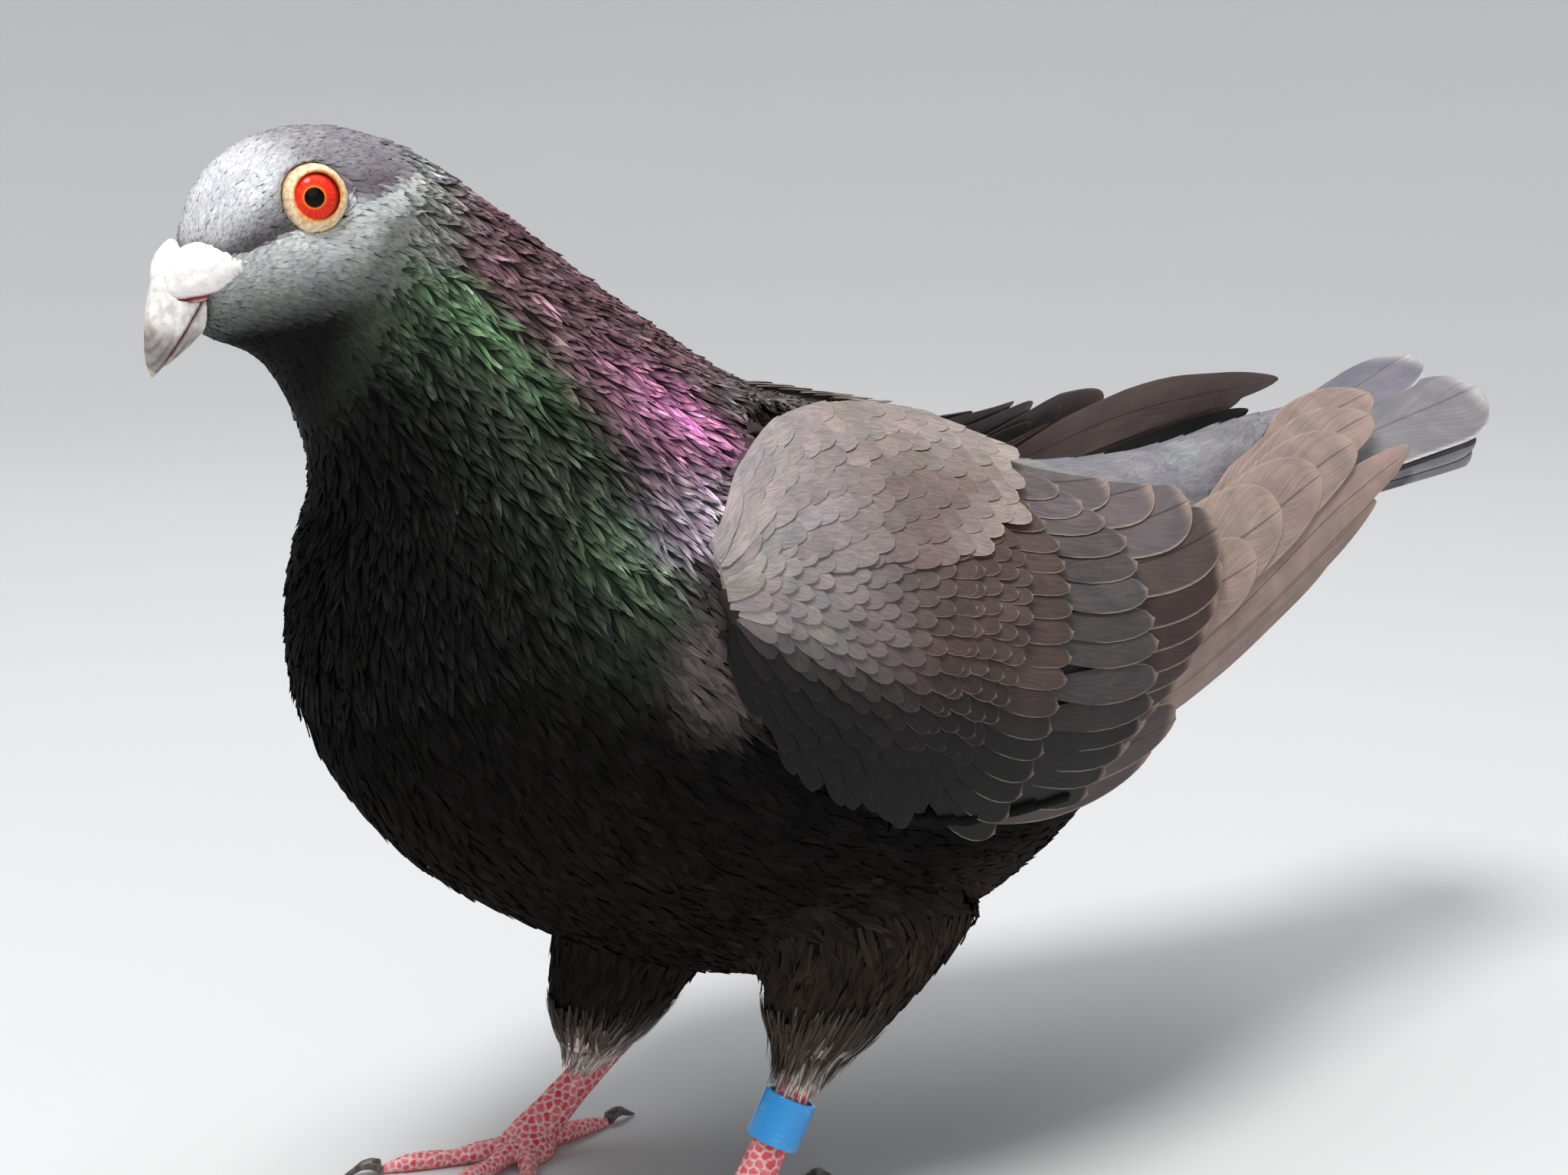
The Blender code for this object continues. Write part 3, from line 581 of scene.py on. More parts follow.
def feather_material(
    name, barbs, along, contrast, fringe=None, shaft=0.0, slope=0.0, rough=0.6, gloss=0.2, root=1.0
):
    """A vane: its own tint, fine barbs along it or sloping out from its shaft, and a pale or dark rim."""
    n = Nodes(name)
    split = n.add("SeparateXYZ", {0: n.add("UVMap", uv_map="vane")})
    across, length = split.outputs[0], split.outputs[1]
    seed = n.attribute("seed", "Fac")
    off = n.math("ABSOLUTE", across)
    run = n.math("SUBTRACT", n.times(length, along), n.times(off, slope))
    parts = {0: n.times(across, barbs), 1: run, 2: n.times(seed, 57.0)}
    vector = n.add("CombineXYZ", parts)
    streak = n.noise(vector, 1.0, 3.0, 0.65)
    level = n.ramp(streak, 0.32, 0.68)
    tint = n.attribute("tint")
    dark = n.shaded(tint, (1 - contrast,) * 3)
    light = n.shaded(tint, (1 + contrast,) * 3)
    colour = n.mix(level, dark, light)
    cloud = n.noise(n.place(), 160.0, 3.0)
    colour = n.mix(n.ramp(cloud, 0.3, 0.7), colour, n.shaded(colour, (1.26, 1.22, 1.18)))
    if root < 1:
        colour = n.mix(n.ramp(length, 0.15, 0.75), n.shaded(colour, (root,) * 3), colour)
    if fringe:
        side = n.times(n.math("POWER", off, 12.0), n.ramp(length, 0.25, 0.6))
        rim = n.ramp(n.math("MAXIMUM", side, n.math("POWER", length, 18.0)), 0.26, 0.8)
        rim = n.times(rim, n.math("MULTIPLY_ADD", level, 0.5, 0.5))
        rim = n.math("MULTIPLY", rim, n.attribute("tint", "Alpha"), clamp=True)
        colour = n.mix(rim, colour, fringe)
    if shaft:
        line = n.math("SUBTRACT", 1.0, n.ramp(off, 0.012, 0.045))
        colour = n.mix(n.times(line, shaft), colour, n.shaded(colour, (0.45,) * 3))
    n.bump(streak, 0.45, 0.0002)
    return n.finish(colour, rough, Specular_IOR_Level=gloss)


def tinted(name, size, dark, bump, rough, grain=(4.0, 0.65), span=(0.32, 0.64), deep=0.0002, **fixed):
    """A part painted by its own tint, with a fine grain."""
    n = Nodes(name)
    noise = n.noise(n.place(), size, *grain)
    tint = n.attribute("tint")
    n.bump(noise, bump, deep)
    return n.finish(n.mix(n.ramp(noise, *span), n.shaded(tint, dark), tint), rough, **fixed)


# Skin


def copied(nodes, grow):
    """One mesh with copies of CAD nodes, each swollen a little so that neighbours meet."""
    bm = bmesh.new()
    for node in nodes:
        bm.from_mesh(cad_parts[node].data)
    bmesh.ops.remove_doubles(bm, verts=bm.verts, dist=1e-5)
    bm.normal_update()
    for vert in bm.verts:
        vert.co += vert.normal * grow
    mesh = bpy.data.meshes.new("copy")
    bm.to_mesh(mesh)
    bm.free()
    return mesh


def remeshed(name, nodes, voxel, grow, rounds, shrink):
    """A fine, even, smoothed mesh over CAD nodes, drawn in by shrink. Sizes are in mm."""
    voxel, grow, shrink = voxel * MM, grow * MM, shrink * MM
    helper = linked(name, copied(nodes, grow))
    for kind, settings in (
        ("REMESH", {"mode": "VOXEL", "voxel_size": voxel}),
        ("SMOOTH", {"factor": 0.5, "iterations": rounds}),
        ("DISPLACE", {"strength": -(grow + shrink), "mid_level": 0}),
    ):
        step = helper.modifiers.new(kind, kind)
        for key, value in settings.items():
            setattr(step, key, value)
    graph = bpy.context.evaluated_depsgraph_get()
    mesh = bpy.data.meshes.new_from_object(helper.evaluated_get(graph))
    mesh.name = name
    bpy.data.objects.remove(helper)
    return mesh


def triples(items, field, kind=np.float32):
    """A field of three numbers for each item of a mesh."""
    flat = np.empty(len(items) * 3, kind)
    items.foreach_get(field, flat)
    return flat.reshape(-1, 3)


def vertex_places(mesh):
    return triples(mesh.vertices, "co").astype(float) / MM


def vertex_normals(mesh):
    return triples(mesh.vertex_normals, "vector").astype(float)


def set_places(mesh, points):
    mesh.vertices.foreach_set("co", (points * MM).astype(np.float32).ravel())
    mesh.update()


def coat_depth(place):
    neck, body = smooth((place - 4) / 3), smooth((place - 9) / 3)
    return FACE_COAT + (NECK_COAT - FACE_COAT) * neck + (BODY_COAT - NECK_COAT) * body


FLESH = ("head", "neck", "trunk", "thigh_left", "thigh_right", "wing_left", "wing_right")
# How far back the wing's coverts hide the skin, in mm along the body.
COVERED_TO = 200
measure = BodyMeasure()


def under_wing(points):
    """Which points lie where coverts hide them, and the way out from the wing's face there."""
    y, v = (g.ravel() for g in np.meshgrid(np.linspace(WING_FRONT, COVERED_TO, 70), np.linspace(0, 1, 40)))
    found = np.zeros(len(points), bool)
    outward = np.zeros(points.shape)
    for _, side in SIDES:
        face, inner = (wing_points(y, v, np.full_like(y, depth), side) for depth in (2.0, 3.0))
        index, distance = nearest(tree_of(face), points)
        inside = (v[index] > 0.05) & (v[index] < 0.95) & (y[index] > shield_front(v[index]) + 8)
        inside &= distance < 6
        found |= inside
        outward[inside] = (face - inner)[index[inside]]
    return found, outward


def make_skin():
    mesh = remeshed("skin", FLESH, voxel=1.3, grow=0.5, rounds=14, shrink=FACE_COAT)
    points, normals = vertex_places(mesh), vertex_normals(mesh)
    place, angle, _ = measure(points)
    covered, outward = under_wing(points)
    deeper = np.where(covered, 0, coat_depth(place) - FACE_COAT)
    points -= normals * deeper[:, None] + outward * (WING_COAT - FACE_COAT)
    set_places(mesh, points)
    # Painted shade: the skin shows only in the gaps between feathers, so it is darkened, a little on the face
    # and much more from the neck back.
    shade = 0.95 - 0.65 * smooth((place - 4.4) / 1.2)
    colour_layer(mesh, markings(points, place, angle) * shade[:, None])
    grainy = {"grain": (3.0, 0.5), "span": (0.3, 0.7), "deep": 0.0004, "Specular_IOR_Level": 0.1}
    material = tinted("skin", 900.0, (0.75,) * 3, 0.5, 0.8, **grainy)
    piece = new_object("skin", mesh, material)
    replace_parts(piece, *FLESH)
    return piece


class Surface:
    """The skin as a surface for feathers to lie on."""

    def __init__(self, mesh):
        self.points, self.normals = vertex_places(mesh), vertex_normals(mesh)
        mesh.calc_loop_triangles()
        self.triangles = triples(mesh.loop_triangles, "vertices", np.int32)
        self.bvh = BVHTree.FromPolygons(self.points.tolist(), self.triangles.tolist())

    def scatter(self, count, thickness=None):
        """Random points over the surface, with their normals, evenly or by a thickness at each vertex."""
        corners = self.points[self.triangles]
        first, second, third = corners.swapaxes(0, 1)
        areas = np.linalg.norm(np.cross(second - first, third - first), axis=1)
        if thickness is not None:
            areas = areas * thickness[self.triangles].mean(1)
        chosen = RNG.choice(len(areas), count, p=areas / areas.sum())
        u, v = RNG.random((2, count))
        over = u + v > 1
        u[over], v[over] = 1 - u[over], 1 - v[over]
        weights = np.stack((1 - u - v, u, v), 1)[..., None]
        normals = unit((self.normals[self.triangles[chosen]] * weights).sum(1))
        return (corners[chosen] * weights).sum(1), normals

    def laid(self, points, height):
        """Points moved to a height over the surface's nearest place, and the surface's normals there."""
        found = [self.bvh.find_nearest(point)[:3] for point in points.reshape(-1, 3)]
        base = np.array([f[0] for f in found])
        normals = unit(self.normals[self.triangles[np.array([f[2] for f in found])]].mean(1))
        return (base + normals * height.reshape(-1, 1)).reshape(points.shape), normals.reshape(points.shape)


def thinned(points, spacing):
    """Indices of points kept so that no two are nearer than their spacing."""
    tree = tree_of(points)
    alive = np.ones(len(points), bool)
    kept = []
    for k, point in enumerate(points):
        if alive[k]:
            kept.append(k)
            for _, near, _ in tree.find_range(point, spacing[k]):
                alive[near] = False
    return np.array(kept)


# Coat


def eye_axis(side, forward=EYE_FORWARD):
    out = Vector((math.cos(forward), -math.sin(forward), math.sin(EYE_UP))).normalized()
    out.x *= side
    return Matrix.Rotation(HEAD_TURN, 3, "Z") @ out


def round_eye(points, name, side):
    """The points' heights along an eye's axis, and their ways out from it, in mm."""
    axis = np.array(eye_axis(side))
    out = points - np.array(middle("eye_" + name)) / MM
    height = out @ axis
    return height, out - height[:, None] * axis


def from_line(points, start, end):
    """The points' distances from a line between two places."""
    run = end - start
    share = np.clip((points - start) @ run / (run @ run), 0, 1)
    return np.linalg.norm(points - start - share[:, None] * run, axis=1)


def thigh_line(name):
    """The top and the end of a feathered thigh, in mm in the frame."""
    low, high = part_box("thigh_" + name)
    foot = middle("foot_" + name)
    top = Vector(((low.x + high.x) / 2, low.y + 0.62 * (high.y - low.y), high.z))
    end = Vector(((low.x + high.x) / 2, foot.y + 0.012, low.z))
    return np.array(top) / MM, np.array(end) / MM


def coat_sites(surface, count):
    """Roots for body feathers: points, normals, places, angles and the lie of the feathers."""
    thickness = 1 + 6 * (1 - smooth((measure(surface.points)[0] - 4.4) / 1.2))
    points, normals = surface.scatter(count, thickness)
    place, angle, lie = measure(points)
    for name, _ in SIDES:
        top, end = thigh_line(name)
        near = smooth((24 - from_line(points, top, end)) / 8) * smooth((64 - points[:, 2]) / 14)
        lie = lie * (1 - near[:, None]) + unit(end - top) * near[:, None]
    for name, side in SIDES:
        height, radial = round_eye(points, name, side)
        inwards = np.minimum((lie * unit(radial)).sum(1), 0)
        weight = (np.abs(height) < 7) * smooth((9 - np.linalg.norm(radial, axis=1)) / 4)
        lie = lie - unit(radial) * (inwards * weight)[:, None]
    lie = unit(lie - normals * (lie * normals).sum(1)[:, None])
    return points, normals, place, angle, lie


# How far, in mm, the coat's roots keep from the eyelids, the cere and the bill.
LID_GAP, CERE_GAP, BILL_GAP = 0.05, 0.85, 0.55


def clear_of_face(points):
    """Which points lie off the eyes, the cere and the bill."""
    free = np.ones(len(points), bool)
    for name, side in SIDES:
        height, radial = round_eye(points, name, side)
        free &= (np.linalg.norm(radial, axis=1) > LID_OUTER + LID_GAP) | (height < 0)
    for node in ("cere_left", "cere_right", "bill_upper", "bill_lower"):
        low, high = in_mm(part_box(node))
        near = np.flatnonzero(((points > low - 1) & (points < high + 1)).all(1))
        hard = Surface(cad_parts[node].data)
        gaps = [hard.bvh.find_nearest(points[k])[3] for k in near]
        free[near] &= np.array(gaps) > (CERE_GAP if node.startswith("cere") else BILL_GAP)
    return free


def gathered(points, lie, length, spacing):
    """How far sideways each tuft's tip moves, so that the tips of neighbours meet in points."""
    heads = thinned(points, np.full(len(points), spacing))
    index, _ = nearest(tree_of(points[heads]), points)
    tips = points + lie * length[:, None]
    shift = tips[heads[index]] - tips
    return shift - lie * (shift * lie).sum(1)[:, None]


def coat_piece(name, surface, sites, keep, length, width, material, **style):
    """A piece of coat: one vane for each site kept, laid along the surface and rising to its tip.

    Its style: shape is where a vane is widest and how blunt it is, grid its stations and columns, fray how
    uneven its tip is, lift its tip's height, jitter its turn, soft the share of the skin's normals, clump the
    spacing of the points that tips gather in, mottle and hue its variety, and edge its rim's strength.
    """
    look = {"shape": (0.5, 2.0), "grid": (4, 3), "fray": 0.3, "lift": 0.8, "jitter": 0.12, "soft": 0.7}
    look.update({"clump": 0, "mottle": 0.16, "hue": 0.02, "edge": 0.0, **style})
    points, normals, place, angle, lie = (part[keep] for part in sites)
    length, width = length[keep], width[keep]
    count = len(points)
    stations, columns = look["grid"]
    turn = RNG.normal(0, look["jitter"], (count, 1))
    lie = lie * np.cos(turn) + np.cross(normals, lie) * np.sin(turn)
    side = np.cross(lie, normals)
    length = length * RNG.uniform(0.8, 1.15, count)
    width = width * RNG.uniform(0.85, 1.15, count)
    t = np.linspace(0, 1, stations)[None, :, None] ** 0.9
    a = np.linspace(-1, 1, columns)[None, None, :]
    ends = 1 - look["fray"] * RNG.random((count, 1, columns))
    t_all = t * (1 - (1 - ends) * t**2)
    half = width[:, None, None] * outline(t, *look["shape"])
    centre = points[:, None, None] + lie[:, None, None] * (t_all * length[:, None, None])[..., None]
    if look["clump"]:
        shift = gathered(points, lie, length, look["clump"])[:, None, None]
        centre = centre + shift * (0.8 * t_all**1.5)[..., None]
    flat = centre + side[:, None, None] * (half * a)[..., None]
    rise = RNG.uniform(0.7, 1.15, (count, 1, 1))
    height = 0.12 + look["lift"] * rise * t_all**0.8
    height = coat_depth(place)[:, None, None] * height * (1 - 0.25 * a * a)
    height = height + 0.02 * RNG.random((count, 1, 1))
    laid, under = surface.laid(flat, np.broadcast_to(height, flat.shape[:3]))
    tint = varied(markings(points, place, angle), look["mottle"], look["hue"])
    patch = np.stack((angle / TAU, place / LAST_RIB), 1)
    edge = np.full(count, look["edge"])
    return vanes(name, laid, a, t_all, tint, edge, patch, material, (under, look["soft"]))


# How many roots are tried before they are thinned to their spacing.
COAT_TRIES = 230000
# Where the coat's pieces begin: places along the ribs, and for the back the share of the body's height.
HACKLES_FROM, BREAST_FROM, BELLY_FROM, BACK_ABOVE = 5.0, 9.6, 13.5, 0.6


def make_coat(skin):
    surface = Surface(skin.data)
    sites = coat_sites(surface, COAT_TRIES)
    points, _, place, angle, _ = sites
    up = (1 + np.cos(angle)) / 2
    face = smooth((place - 1.5) / 2.5)
    neck_on, body_on = smooth((place - 4.6) / 2), smooth((place - 8.5) / 3)
    spacing = 0.50 + 0.16 * face + 0.18 * neck_on + 0.56 * body_on
    usable = clear_of_face(points) & ~under_wing(points)[0]
    index = np.flatnonzero(usable)
    index = index[thinned(points[index], spacing[index])]
    chosen = np.zeros(len(points), bool)
    chosen[index] = True
    on_head = place < RNG.normal(HACKLES_FROM, 0.2, len(place))
    neck = chosen & ~on_head & (place < BREAST_FROM)
    rest = chosen & (place >= BREAST_FROM)
    length = 2.2 + 1.7 * face + 2.2 * neck_on + 3.9 * body_on
    width = 0.38 + 0.08 * face - 0.04 * neck_on + 0.36 * body_on
    soft = feather_material("face_feathers", 2.0, 1.5, 0.15, gloss=0.05)
    hackle = feather_material("neck_feathers", 4.0, 1.6, 0.5, rough=0.55, gloss=0.08, root=0.25)
    breast = feather_material("breast_feathers", 6.0, 1.8, 0.5, rough=0.8, gloss=0.03)
    plain = feather_material("back_feathers", 5.0, 6.0, 0.18, (0.45, 0.42, 0.42), slope=5.0)
    sleek = {"fray": 0.1, "lift": 0.35, "jitter": 0.10, "soft": 0.92, "mottle": 0.08}
    ragged = {"shape": (0.4, 1.4), "fray": 0.35, "lift": 1.0, "jitter": 0.14, "soft": 0.6}
    ragged.update(clump=2.4, mottle=0.42, hue=0.05)
    downy = {"shape": (0.45, 1.6), "fray": 0.4, "lift": 0.55, "jitter": 0.14, "soft": 0.85, "clump": 2.2}
    low = rest & (up <= BACK_ABOVE)
    for name, keep, material, style in (
        ("coat_head", chosen & on_head, soft, sleek),
        ("coat_nape", neck & (up >= 0.5), hackle, ragged),
        ("coat_throat", neck & (up < 0.5), hackle, ragged),
        ("coat_breast", low & (place < BELLY_FROM), breast, downy),
        ("coat_belly", low & (place >= BELLY_FROM), breast, {**downy, "lift": 0.7}),
    ):
        coat_piece(name, surface, sites, keep, length, width, material, **style)
    top = np.flatnonzero(rest & (up > BACK_ABOVE))
    wide = 2.6 + 1.4 * smooth((place - 12) / 3)
    top = top[thinned(points[top], wide[top])]
    back = np.zeros(len(points), bool)
    back[top] = True
    coat_piece(
        "coat_back", surface, sites, back, 12 + 8 * smooth((place - 12) / 3), 1.35 * wide, plain,
        grid=(9, 7), shape=(0.6, 2.6), fray=0.03, lift=0.7, jitter=0.05, soft=0.85, mottle=0.06, edge=0.12,
    )


def shank_line(name):
    """The top and the foot end of a shank's middle, in mm."""
    points = vertex_places(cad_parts["shank_" + name].data)
    low, high = points[:, 2].min(), points[:, 2].max()
    return points[points[:, 2] > high - 6].mean(0), points[points[:, 2] < low + 6].mean(0)


def pushed_out(surface, points, least):
    """Points moved out until they stand at least so far from a surface."""
    flat = points.reshape(-1, 3).copy()
    for k, gap in enumerate(least.ravel()):
        near, normal, _, _ = surface.bvh.find_nearest(flat[k])
        height = (Vector(flat[k]) - near).dot(normal)
        if height < gap:
            flat[k] += np.array(normal) * (gap - height)
    return flat.reshape(points.shape)


CUFF_PALE = rgb(0.52, 0.47, 0.44)
CUFF_BROWN = rgb(0.045, 0.036, 0.029)
CUFF_HAIRS = 1300
CUFF_REACH = 15
CUFF_HAIR_WIDTH = 0.30
# For each leg, how far the longest hairs reach down the shank, and how far up the thigh they turn brown.
CUFFS = {"left": (5.5, 2), "right": (7.5, 5)}


def make_cuffs(skin):
    """Ragged hairs over the end of each thigh and the top of its shank: brown above, pale at the hem."""
    hair = feather_material("cuff_feathers", 3.0, 2.0, 0.35, gloss=0.05)
    surface = Surface(skin.data)
    count = CUFF_HAIRS
    for name, side in SIDES:
        longest, brown_from = CUFFS[name]
        top, foot = shank_line(name)
        axis = unit(foot - top)
        low = next(in_mm(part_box("thigh_" + name)))
        start = top + axis * ((low[2] - top[2]) / axis[2])
        height = surface.points[:, 2] - low[2]
        apart = np.linalg.norm((surface.points - start)[:, :2], axis=1)
        end = (side * surface.points[:, 0] > 0) & (height < CUFF_REACH) & (apart < CUFF_REACH)
        chosen = RNG.choice(np.flatnonzero(end), count)
        above = height[chosen]
        root = surface.points[chosen] + RNG.normal(0, 0.4, (count, 3))
        out = root - start
        out = unit(out - (out @ axis)[:, None] * axis)
        reach = RNG.uniform(1.0, longest, (count, 1))
        way = start + axis * reach + out * RNG.uniform(3.6, 4.8, (count, 1)) - root
        far = np.linalg.norm(way, axis=1, keepdims=True)
        way *= np.minimum(RNG.uniform(5, 10, (count, 1)) / far, 1)
        t = np.linspace(0, 1, 6)[None, :, None, None]
        a = np.linspace(-1, 1, 3)[None, None, :, None]
        across = unit(np.cross(way, out))[:, None, None]
        sway = RNG.normal(0, 0.5, (count, 1, 1, 1))
        points = root[:, None, None] + way[:, None, None] * t
        points = points + across * (a * CUFF_HAIR_WIDTH * outline(t, 0.4, 1.3) + sway * t * t)
        lift = np.broadcast_to(RNG.uniform(1.2, 1.9, (count, 1, 1)), points.shape[:3])
        points = pushed_out(surface, points, lift)
        tint = varied(mixed(CUFF_PALE, CUFF_BROWN, smooth((above - brown_from) / 8)), 0.35)
        patch = np.stack((out[:, 0], above), 1)
        plain = np.zeros(count)
        vanes("cuff_" + name, points, a[..., 0], t[..., 0], tint, plain, patch, hair)


# Wings


def varied(colour, spread, hue=0.02):
    """Colours varied feather by feather, in brightness and a little in hue."""
    count = len(colour)
    return np.clip(colour * np.exp(RNG.normal(0, spread, (count, 1)) + RNG.normal(0, hue, (count, 3))), 0, 1)


def wing_vanes(name, side, feathers, shape, grid, material):
    """Feathers laid on the wing, from a dict of columns, one entry for each feather.

    root and tip are places (y, v), width is half a feather's width, and deep is the depth of its root and
    tip. bow moves its middle down the wing, tilt raises its lower edge and roll lowers both its edges.
    """
    root, tip, width, deep = (np.array(feathers[key], float) for key in ("root", "tip", "width", "deep"))
    t, a = vane_grid(*grid)
    run = tip - root
    y = root[:, 0, None, None] + run[:, 0, None, None] * t
    v = root[:, 1, None, None] + run[:, 1, None, None] * t + feathers.get("bow", 0.0) * t * (1 - t)
    tall = wing_height(np.clip(y, WING_FRONT, WING_REAR))
    ahead = unit(np.stack((run[:, 0], run[:, 1] * tall[:, 0, 0]), 1))[..., None, None]
    half = width[:, None, None] * outline(t, *shape)
    y, v = y - ahead[:, 1] * half * a, v + ahead[:, 0] * half * a / tall
    y = np.maximum(y, WING_FRONT + 1.5)
    start, end = deep.T
    level = start[:, None, None] + (end - start)[:, None, None] * t**0.8
    level = level + feathers.get("roll", 0.2) * a * a - feathers.get("tilt", 0.3) * a
    level = np.maximum(np.broadcast_to(level, y.shape), 0.03)
    v = on_side(y, v, side)
    points, normals = wing_points(y, v, level, side), wing_normals(y, v, side)
    if side < 0:
        points, normals, a = points[:, :, ::-1], normals[:, :, ::-1], a[:, :, ::-1]
    patch = np.stack((root[:, 0] / WING_REAR, root[:, 1]), 1)
    tint, edge = np.array(feathers["tint"]), np.array(feathers["edge"])
    under = (normals, feathers.get("soft", 0.5))
    return vanes(name, points, a, t, tint, edge, patch, material, under)


COVERT_FRONT = rgb(0.24, 0.215, 0.22)
COVERT_MIDDLE = rgb(0.074, 0.052, 0.047)
# Dark plumage low on the wing, deepened as painted shade.
COVERT_DARK_AND_SHADE = rgb(0.012, 0.010, 0.0105)
COVERT_GREATER = rgb(0.066, 0.057, 0.058)
SCAPULAR = rgb(0.140, 0.106, 0.102)
SCAPULAR_TIP = rgb(0.48, 0.43, 0.40)
SECONDARY = rgb(0.045, 0.029, 0.027)
TERTIAL = rgb(0.118, 0.099, 0.103)
PRIMARY = rgb(0.262, 0.195, 0.178)
PRIMARY_SHADE_SHEET = rgb(0.010, 0.009, 0.009)
FRINGE = (0.42, 0.31, 0.25)
# Lines of feather tips down the wing, as rows of (v, y).
GREATER_TIPS = np.array(((0.10, 158), (0.28, 171.5), (0.58, 171), (0.79, 168.5), (0.94, 159.5), (1.05, 154)))
MEDIAN_TIPS = np.array((
    (0.10, 146), (0.30, 151.7), (0.45, 148.3), (0.58, 145.5), (0.72, 141), (0.92, 137), (1.05, 133),
))
LESSER_TIPS = np.array(((0, 142), (0.39, 139.9), (0.53, 135.5), (0.68, 129.1), (0.83, 121.2), (1.05, 108)))
LESSER_ROWS, LESSER_STEP = 17, 3.6
# How far apart, in mm, the tips of a row are.
LESSER_APART, MEDIAN_APART, GREATER_APART, SCAPULARS_APART = 4.0, 4.5, 5.4, 4.8
SCAPULAR_ROWS = np.arange(84, 157, 4.5)
# The scapulars' lower edge, as rows of (y, v).
SCAPULAR_EDGE = np.array((
    (76, 0.03), (82, 0.10), (93, 0.30), (100, 0.38), (124, 0.37), (134, 0.36), (146, 0.28), (156, 0.10),
))
# The tertials and secondaries from the top down, as (y, v, half width) of each tip.
SECONDARY_ENDS = (
    (176, 0.13, 6.5), (186, 0.175, 6.5), (193.5, 0.255, 7.2), (198.8, 0.37, 7.6), (196.5, 0.48, 6.6),
    (193, 0.56, 6), (189, 0.63, 5.8), (184.5, 0.69, 5.6), (179.5, 0.745, 5.6), (174.5, 0.79, 5.6),
    (171, 0.85, 5.6), (168, 0.91, 5.6), (181.5, 0.93, 7.5), (177, 1.02, 7),
)
# Longer ones, on the right wing only, that close its upper edge.
RIGHT_TERTIALS = ((217, 0.35, 7.5), (206, 0.36, 7.5))
# The primaries from the innermost out, as root (y, v), tip (y, v) and half width.
PRIMARY_ENDS = (
    (150, 0.45, 209, 0.56, 9.5), (150, 0.42, 220, 0.45, 11), (150, 0.47, 235, 0.43, 10.5),
    (150, 0.55, 248, 0.36, 9.5), (150, 0.62, 257, 0.22, 8), (150, 0.64, 262, 0.07, 6.5),
    (150, 0.78, 265.5, 0.62, 7), (150, 0.84, 252, 0.86, 6), (150, 0.86, 237, 0.96, 4.5),
)


def wing_tint(y, v):
    """The coverts' ground colour by place on the wing, going dark towards its lower edge: partly dark
    plumage, partly painted shade.
    """
    colour = mixed(COVERT_MIDDLE, COVERT_FRONT, smooth((124 - y + 26 * (0.45 - v)) / 36))
    # Low on the wing the coverts go dark, darkest near its lower edge: partly dark plumage, partly painted
    # shade.
    low = COVERT_DARK_AND_SHADE * (1 - 0.65 * smooth((v - 0.75) / 0.15))[..., None]
    return mixed(colour, low, smooth((v - 0.56) / 0.22))


def down_a_line(line, first, last, spacing):
    """Places (y, v) a spacing in mm apart along a line of tips."""
    v = np.linspace(first, last, 200)
    y = np.interp(v, *line.T)
    steps = np.linalg.norm(np.diff(wing_outer(y, v), axis=0), axis=1)
    run = np.concatenate(((0,), np.cumsum(steps)))
    at = np.arange(spacing * RNG.uniform(0.2, 0.8), run[-1], spacing)
    at = at + RNG.normal(0, 0.05 * spacing, len(at))
    return np.stack((np.interp(at, run, y), np.interp(at, run, v)), 1)


def add_row(group, tip, fan, length, width, deep, tint, edge):
    """Adds feathers whose tips are given, pointing back and down by an angle in radians."""
    tall = wing_height(np.clip(tip[:, 0], WING_FRONT, WING_REAR))
    length = length * RNG.uniform(0.92, 1.08, len(tip))
    root = tip - np.stack((length * np.cos(fan), length * np.sin(fan) / tall), 1)
    rise = RNG.uniform(-0.15, 0.15, len(tip))
    group["root"].extend(root)
    group["tip"].extend(tip)
    group["width"].extend(width * RNG.uniform(0.92, 1.08, len(tip)))
    group["deep"].extend(np.stack((np.full(len(tip), deep[0]), deep[1] + rise), 1))
    group["tint"].extend(tint)
    group["edge"].extend(np.broadcast_to(edge, len(tip)))


def empty_group():
    return {key: [] for key in ("root", "tip", "width", "deep", "tint", "edge")}


